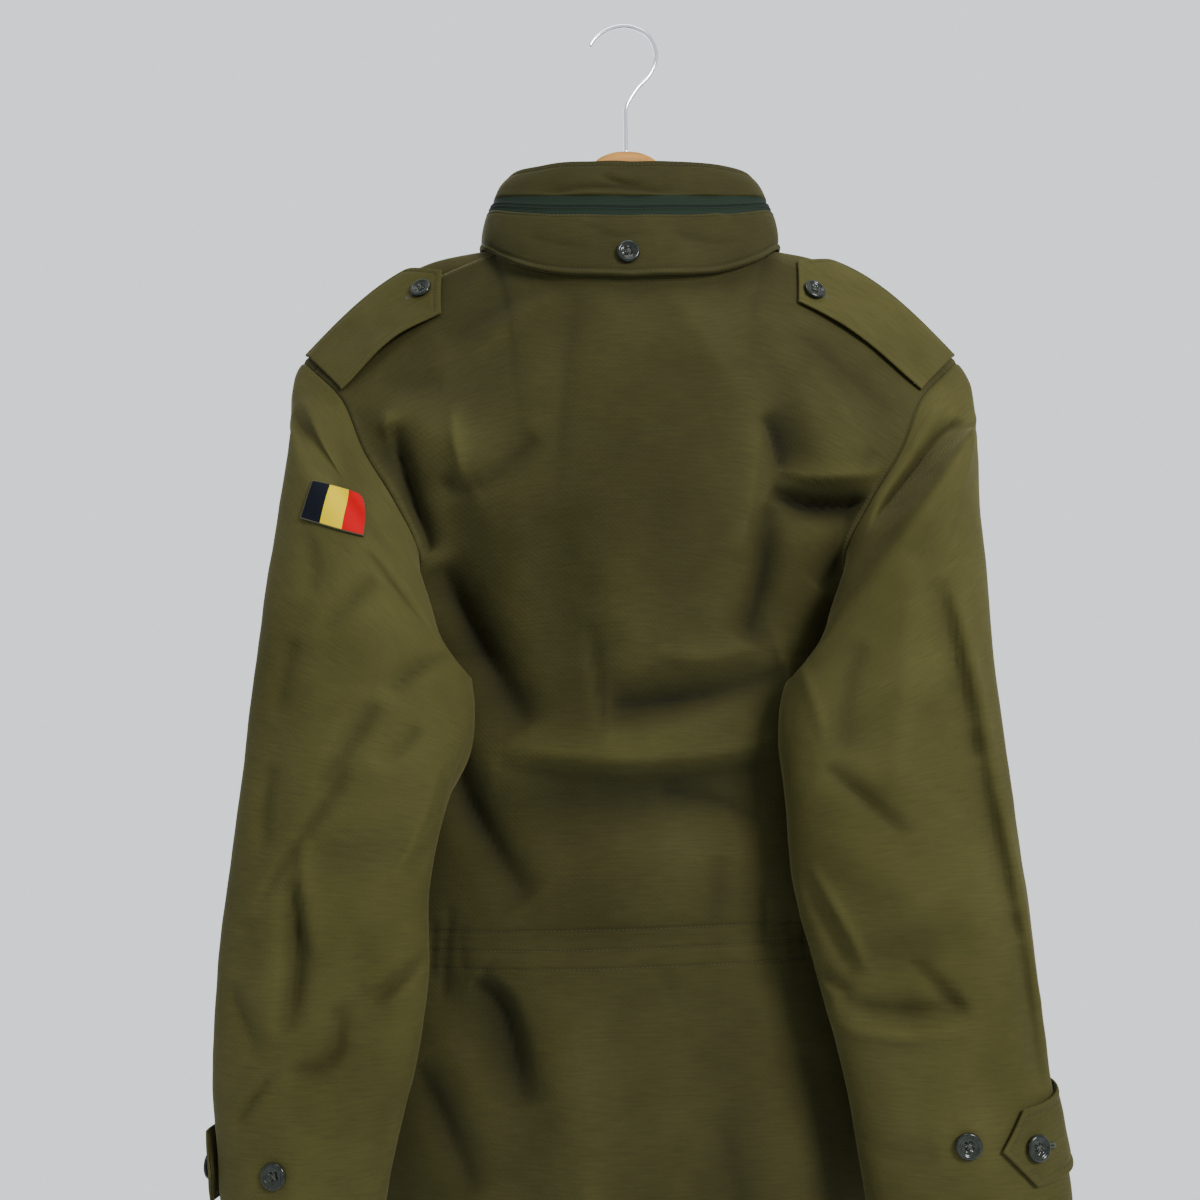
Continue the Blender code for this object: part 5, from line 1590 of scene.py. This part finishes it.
class FIELDJACKET_OT_straps(bpy.types.Operator):
    """Shoulder straps and cuff tabs, with stitched edges"""

    bl_idname = "field_jacket.straps"
    bl_label = "Straps and cuff tabs"

    def execute(self, context):
        settings = context.scene.field_jacket
        for side, name in SIDE_NAMES:
            along = steps((0, 0.02, 6), (0.02, 1, 84))
            across = steps((0, 0.035, 6), (0.035, 0.965, 42), (0.965, 1, 6))
            cloth = Cloth(partial(strap_surface, side), along, across, flip=side > 0)
            lift = strap_gap(side, cloth.u, cloth.v)
            # the straps are painted paler: a painted sheen highlight
            obj, sewing = flap(settings, "strap", name, cloth, "left", lift, 9.5)
            around = steps((0, 0.95, 46), (0.95, 1, 8))
            along = steps((0, 0.03, 5), (0.03, 0.97, 36), (0.97, 1, 5))
            cloth = Cloth(partial(tab_surface, side), around, along, flip=side < 0)
            lift = tab_gap(side, cloth.u)
            # the cuff tabs are painted paler, like the sleeves: painted light
            obj, sewing = flap(settings, "cuff_tab", name, cloth, "right", lift, 4.0)
        return {"FINISHED"}


def button_form():
    """A turned button: raised rim, dished middle and four sewn holes."""
    radius = BUTTON_DIAMETER / 2
    top = BUTTON_THICKNESS
    middle = top * 0.62
    inner = radius * 0.56
    bm = bmesh.new()
    bmesh.ops.create_circle(bm, cap_ends=False, radius=inner, segments=48)
    holes = []
    for x, y in ((1, 1), (-1, 1), (-1, -1), (1, -1)):
        place = Matrix.Translation((x * THREAD_HOLE_PLACE, y * THREAD_HOLE_PLACE, 0))
        hole = {"radius": THREAD_HOLE_RADIUS, "segments": 14, "matrix": place}
        holes += bmesh.ops.create_circle(bm, cap_ends=False, **hole)["verts"]
    bmesh.ops.triangle_fill(bm, use_beauty=True, edges=bm.edges[:])
    bmesh.ops.translate(bm, verts=bm.verts, vec=(0, 0, middle))
    edges = [edge for edge in bm.edges if edge.is_boundary and edge.verts[0] in holes]
    walls = bmesh.ops.extrude_edge_only(bm, edges=edges)["geom"]
    lower = [part for part in walls if isinstance(part, bmesh.types.BMVert)]
    bmesh.ops.translate(bm, verts=lower, vec=(0, 0, -THREAD_HOLE_DEPTH))
    walls = [part for part in walls if isinstance(part, bmesh.types.BMEdge)]
    floors = bmesh.ops.edgenet_fill(bm, edges=[edge for edge in walls if edge.is_boundary])
    for face in floors["faces"]:
        face.material_index = 1
    corners = [bm.verts.new((radius * x, 0, top * z)) for x, z in BUTTON_PROFILE]
    turned = [bm.edges.new(pair) for pair in zip(corners, corners[1:])]
    bmesh.ops.spin(
        bm,
        geom=corners + turned,
        axis=(0, 0, 1),
        cent=(0, 0, 0),
        steps=48,
        angle=2 * math.pi,
        use_merge=True,
    )
    bmesh.ops.remove_doubles(bm, verts=bm.verts, dist=0.00002)
    bmesh.ops.recalc_face_normals(bm, faces=bm.faces)
    for face in bm.faces:
        face.smooth = True
    for turn in (45, 135):
        bar = bmesh.ops.create_uvsphere(bm, u_segments=8, v_segments=6, radius=0.5)["verts"]
        bmesh.ops.scale(bm, verts=bar, vec=(0.0060, 0.0009, 0.0008))
        bmesh.ops.rotate(bm, verts=bar, matrix=Matrix.Rotation(math.radians(turn), 3, "Z"))
        bmesh.ops.translate(bm, verts=bar, vec=(0, 0, middle + 0.0001))
        for face in {face for vert in bar for face in vert.link_faces}:
            face.material_index = 1
            face.smooth = True
    return bm


class FIELDJACKET_OT_buttons(bpy.types.Operator):
    """Seven four-hole buttons, and the buttonholes of the straps and tabs"""

    bl_idname = "field_jacket.buttons"
    bl_label = "Buttons and buttonholes"

    def execute(self, context):
        self.settings = context.scene.field_jacket
        self.make_button("collar", 0.0006, *surface_frame(collar, *COLLAR_BUTTON, (0, -1, 0)))
        for side, name in SIDE_NAMES:
            place = self.strap_place(side, *STRAP_BUTTON[side])
            rise = strap_gap(side, *STRAP_BUTTON[side]) + STRAP_WALL
            self.make_button("strap_" + name, rise + 0.0008, *place)
            self.make_buttonhole("strap_" + name, rise + 0.0001, *place)
            angle, station = TAB_BUTTON[side]
            cuff = partial(sleeve, side)
            place = surface_frame(cuff, angle, station, (side, -1, 0))
            start = TAB_BASE_ANGLE[side]
            rise = tab_gap(side, (start - angle) / (start - TAB_TIP_ANGLE[side])) + TAB_WALL
            self.make_button(f"cuff_{name}_tab", rise + 0.0008, *place)
            self.make_buttonhole("cuff_tab_" + name, rise + 0.0001, *place)
            place = surface_frame(cuff, *SPARE_BUTTON[side], (0, -1, 0))
            self.make_button(f"cuff_{name}_spare", 0.0006, *place)
        return {"FINISHED"}

    def strap_place(self, side, u, v):
        """A place on the strap, its normal and its long direction."""
        along = np.array([u - 0.08, u + 0.08, u, u, u])
        near = strap_surface(side, along, np.array([v, v, v - 0.12, v + 0.12, v]))
        along = unit(near[1] - near[0])
        normal = unit(np.cross(along, near[3] - near[2]))
        return near[4], normal if normal[2] > normal[1] else -normal, along

    def make_button(self, name, rise, point, normal, along):
        bm = button_form()
        turn = Matrix((along, np.cross(normal, along), normal)).transposed().to_4x4()
        turn = Matrix.Translation(Vector(point + normal * rise)) @ turn
        turn = turn @ Matrix.Rotation(math.radians(BUTTON_TURN), 4, "Z")
        bmesh.ops.transform(bm, matrix=turn, verts=bm.verts)
        mesh = as_mesh("button_" + name, bm)
        finishes = (button_material(self.settings), hole_thread_material(self.settings))
        obj = add_object("polished_button_" + name, mesh, "button_plastic", *finishes)
        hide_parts("button_" + name)

    def make_buttonhole(self, name, rise, point, normal, along):
        """Close whip stitches round a slit that runs along the strap, from under the button."""
        along = unit(along - normal * np.dot(along, normal))
        point = point + normal * rise + along * HOLE_SHIFT
        across = np.cross(normal, along)
        places = []
        directions = []
        for way in np.arange(-HOLE_HALF_LENGTH, HOLE_HALF_LENGTH, HOLE_STITCH_PITCH):
            for edge in (-1, 1):
                places.append(point + along * way + across * edge * HOLE_HALF_WIDTH)
                directions.append(across)
        for turn in np.radians(np.arange(-75, 76, 25)):
            reach = along * np.cos(turn) + across * np.sin(turn)
            places.append(point + along * HOLE_HALF_LENGTH + reach * 0.0014)
            directions.append(reach)
        normals = np.repeat([normal], len(places), axis=0)
        stitched = [(np.array(places), np.array(directions), normals)]
        thread = hole_thread_material(self.settings)
        joined("buttonhole_" + name, 4, stitched, (0.0021, 0.0009, 0.0007), thread, 0.0002)


class FIELDJACKET_OT_flag(bpy.types.Operator):
    """Woven flag patch on the left sleeve, with its edge stitches"""

    bl_idname = "field_jacket.flag"
    bl_label = "Flag patch"

    def execute(self, context):
        settings = context.scene.field_jacket
        across = steps((0, 0.06, 5), (0.06, 0.94, 42), (0.94, 1, 5))
        down = steps((0, 0.08, 5), (0.08, 0.92, 28), (0.92, 1, 5))
        cloth = Cloth(patch_surface, across, down, flip=True)
        edges = least(cloth.low, cloth.high, cloth.left, cloth.right)
        cloth.raise_by(0.0012 + PATCH_WALL + rounded_edge(edges, 0.0006))
        across, down = patch_shares(cloth.u, cloth.v)
        flat = ((across - 0.5) * PATCH_SIZE[0], (1 - down) * PATCH_SIZE[1])
        satin = flag_material(settings)
        name = "flag_patch_cloth"
        obj = sew(name, cloth, PATCH_WALL, satin, "flag_patch", "woven_patch", flat=flat)
        rim = [
            np.concatenate([grid[0], grid[1:, -1], grid[-1, -2::-1], grid[-2::-1, 0]])
            for grid in (cloth.points, cloth.normals)
        ]
        places, directions, outward = along_line(rim, 0.0007)
        stitched = [(places, np.cross(outward, directions), outward)]
        thread = thread_material(settings)
        sizes = (0.0017, 0.0009, 0.0010)
        border = joined("flag_patch_border", 4, stitched, sizes, thread, 0.0004, "woven_patch")
        return {"FINISHED"}


class FIELDJACKET_OT_hanger(bpy.types.Operator):
    """Bent beech hanger and its chromed wire hook"""

    bl_idname = "field_jacket.hanger"
    bl_label = "Hanger"

    def execute(self, context):
        settings = context.scene.field_jacket

        def wood(angle, x):
            reach = np.abs(x)
            end = (np.clip(reach - ARM_ROUND, 0, None) / 0.0048) ** 2
            end = np.sqrt(np.clip(1 - end, 0.0004, 1))
            height = HANGER("height", reach)
            y = HANGER("half_thickness", reach) * cos_of(angle) * end
            z = HANGER("top", reach) - height / 2 + height / 2 * sin_of(angle) * end
            return np.stack([MIDDLE_X / 2 + x, y, z], axis=-1)

        arms = steps((0, 0.04, 20), (0.04, ARM_ROUND, 60), (ARM_ROUND, 0.245, 8))
        cloth = Cloth(wood, np.linspace(0, 360, 41), mirrored(arms), ring=True)
        sew("beech_arms", cloth, 0, beech_material(settings), "hanger_wood", "beech")

        def wire(angle, step):
            ahead, back = step + 0.02, step - 0.02
            run_x, run_z = (HOOK_ROUTE(axis, ahead) - HOOK_ROUTE(axis, back) for axis in "xz")
            long = np.hypot(run_x, run_z)
            end = (np.clip(step - HOOK_ROUND, 0, None) / 0.15) ** 2
            end = WIRE_RADIUS * np.sqrt(np.clip(1 - end, 0.02, 1))
            x = HOOK_ROUTE("x", step) + cos_of(angle) * end * run_z / long
            z = HOOK_ROUTE("z", step) - cos_of(angle) * end * run_x / long
            return np.stack([x, sin_of(angle) * end, z], axis=-1)

        route = steps((0, HOOK_ROUND, 150), (HOOK_ROUND, 11, 8))
        cloth = Cloth(wire, np.linspace(0, 360, 25), route, ring=True)
        sew("chromed_hook", cloth, 0, wire_material(settings), "hanger_hook", "chromed_wire")
        return {"FINISHED"}


class FIELDJACKET_OT_studio(bpy.types.Operator):
    """Pale floor and room, soft light, and the camera behind the jacket"""

    bl_idname = "field_jacket.studio"
    bl_label = "Studio"

    def execute(self, context):
        settings = context.scene.field_jacket
        scene = context.scene
        room = opaque(settings.room_colour)
        bm = bmesh.new()
        place = Matrix.Translation((0, 0, -1.45))
        bmesh.ops.create_circle(bm, cap_ends=True, radius=1.4, segments=64, matrix=place)
        floor = bpy.data.objects.new("floor", as_mesh("floor", bm))
        scene.collection.objects.link(floor)
        paint = new_material("floor, matte paint", Roughness=0.9, Base_Color=room)
        floor.data.materials.append(paint)
        world = bpy.data.worlds.new("room")
        world.use_nodes = True
        background = world.node_tree.nodes["Background"].inputs
        background["Color"].default_value = room
        background["Strength"].default_value = 1.7
        scene.world = world
        for name, place, size, power in (
            ("ceiling", (-0.1, -0.9, 1.35), 1.0, 20),
            ("window", (1.3, -2.0, 0.35), 0.8, 125),
            ("far side", (-0.6, 2.3, 0.6), 1.8, 60),
        ):
            light = bpy.data.lights.new(name, "AREA")
            light.size = size
            light.energy = power
            lamp = bpy.data.objects.new(name, light)
            lamp.location = place
            aim = Vector((0, 0, -0.55)) - Vector(place)
            lamp.rotation_euler = aim.to_track_quat("-Z", "Y").to_euler()
            scene.collection.objects.link(lamp)
        camera = bpy.data.cameras.new("camera")
        camera.lens = 37
        camera.sensor_width = 36
        eye = bpy.data.objects.new("camera", camera)
        eye.location = EYE
        eye.rotation_euler = (math.radians(98), 0, 0)
        scene.collection.objects.link(eye)
        scene.camera = eye
        return {"FINISHED"}


class FIELDJACKET_PT_panel(bpy.types.Panel):
    """Lists the settings and the pieces"""

    bl_idname = "FIELDJACKET_PT_panel"
    bl_label = "Field jacket"
    bl_space_type = "VIEW_3D"
    bl_region_type = "UI"
    bl_category = "Field jacket"

    def draw(self, context):
        settings = context.scene.field_jacket
        for name in FieldJacketSettings.__annotations__:
            self.layout.prop(settings, name)
        for operator in OPERATORS:
            self.layout.operator(operator.bl_idname)


OPERATORS = (
    FIELDJACKET_OT_studio,
    FIELDJACKET_OT_hanger,
    FIELDJACKET_OT_back,
    FIELDJACKET_OT_fronts,
    FIELDJACKET_OT_sleeves,
    FIELDJACKET_OT_collar,
    FIELDJACKET_OT_straps,
    FIELDJACKET_OT_buttons,
    FIELDJACKET_OT_flag,
)
CLASSES = (FieldJacketSettings, *OPERATORS, FIELDJACKET_PT_panel)


def register():
    for part in CLASSES:
        bpy.utils.register_class(part)
    bpy.types.Scene.field_jacket = PointerProperty(type=FieldJacketSettings)


def unregister():
    del bpy.types.Scene.field_jacket
    for part in reversed(CLASSES):
        bpy.utils.unregister_class(part)


def main():
    register()
    bpy.ops.field_jacket.studio()
    bpy.ops.field_jacket.hanger()
    bpy.ops.field_jacket.back()
    bpy.ops.field_jacket.fronts()
    bpy.ops.field_jacket.sleeves()
    bpy.ops.field_jacket.collar()
    bpy.ops.field_jacket.straps()
    bpy.ops.field_jacket.buttons()
    bpy.ops.field_jacket.flag()


if __name__ == "__main__":
    main()
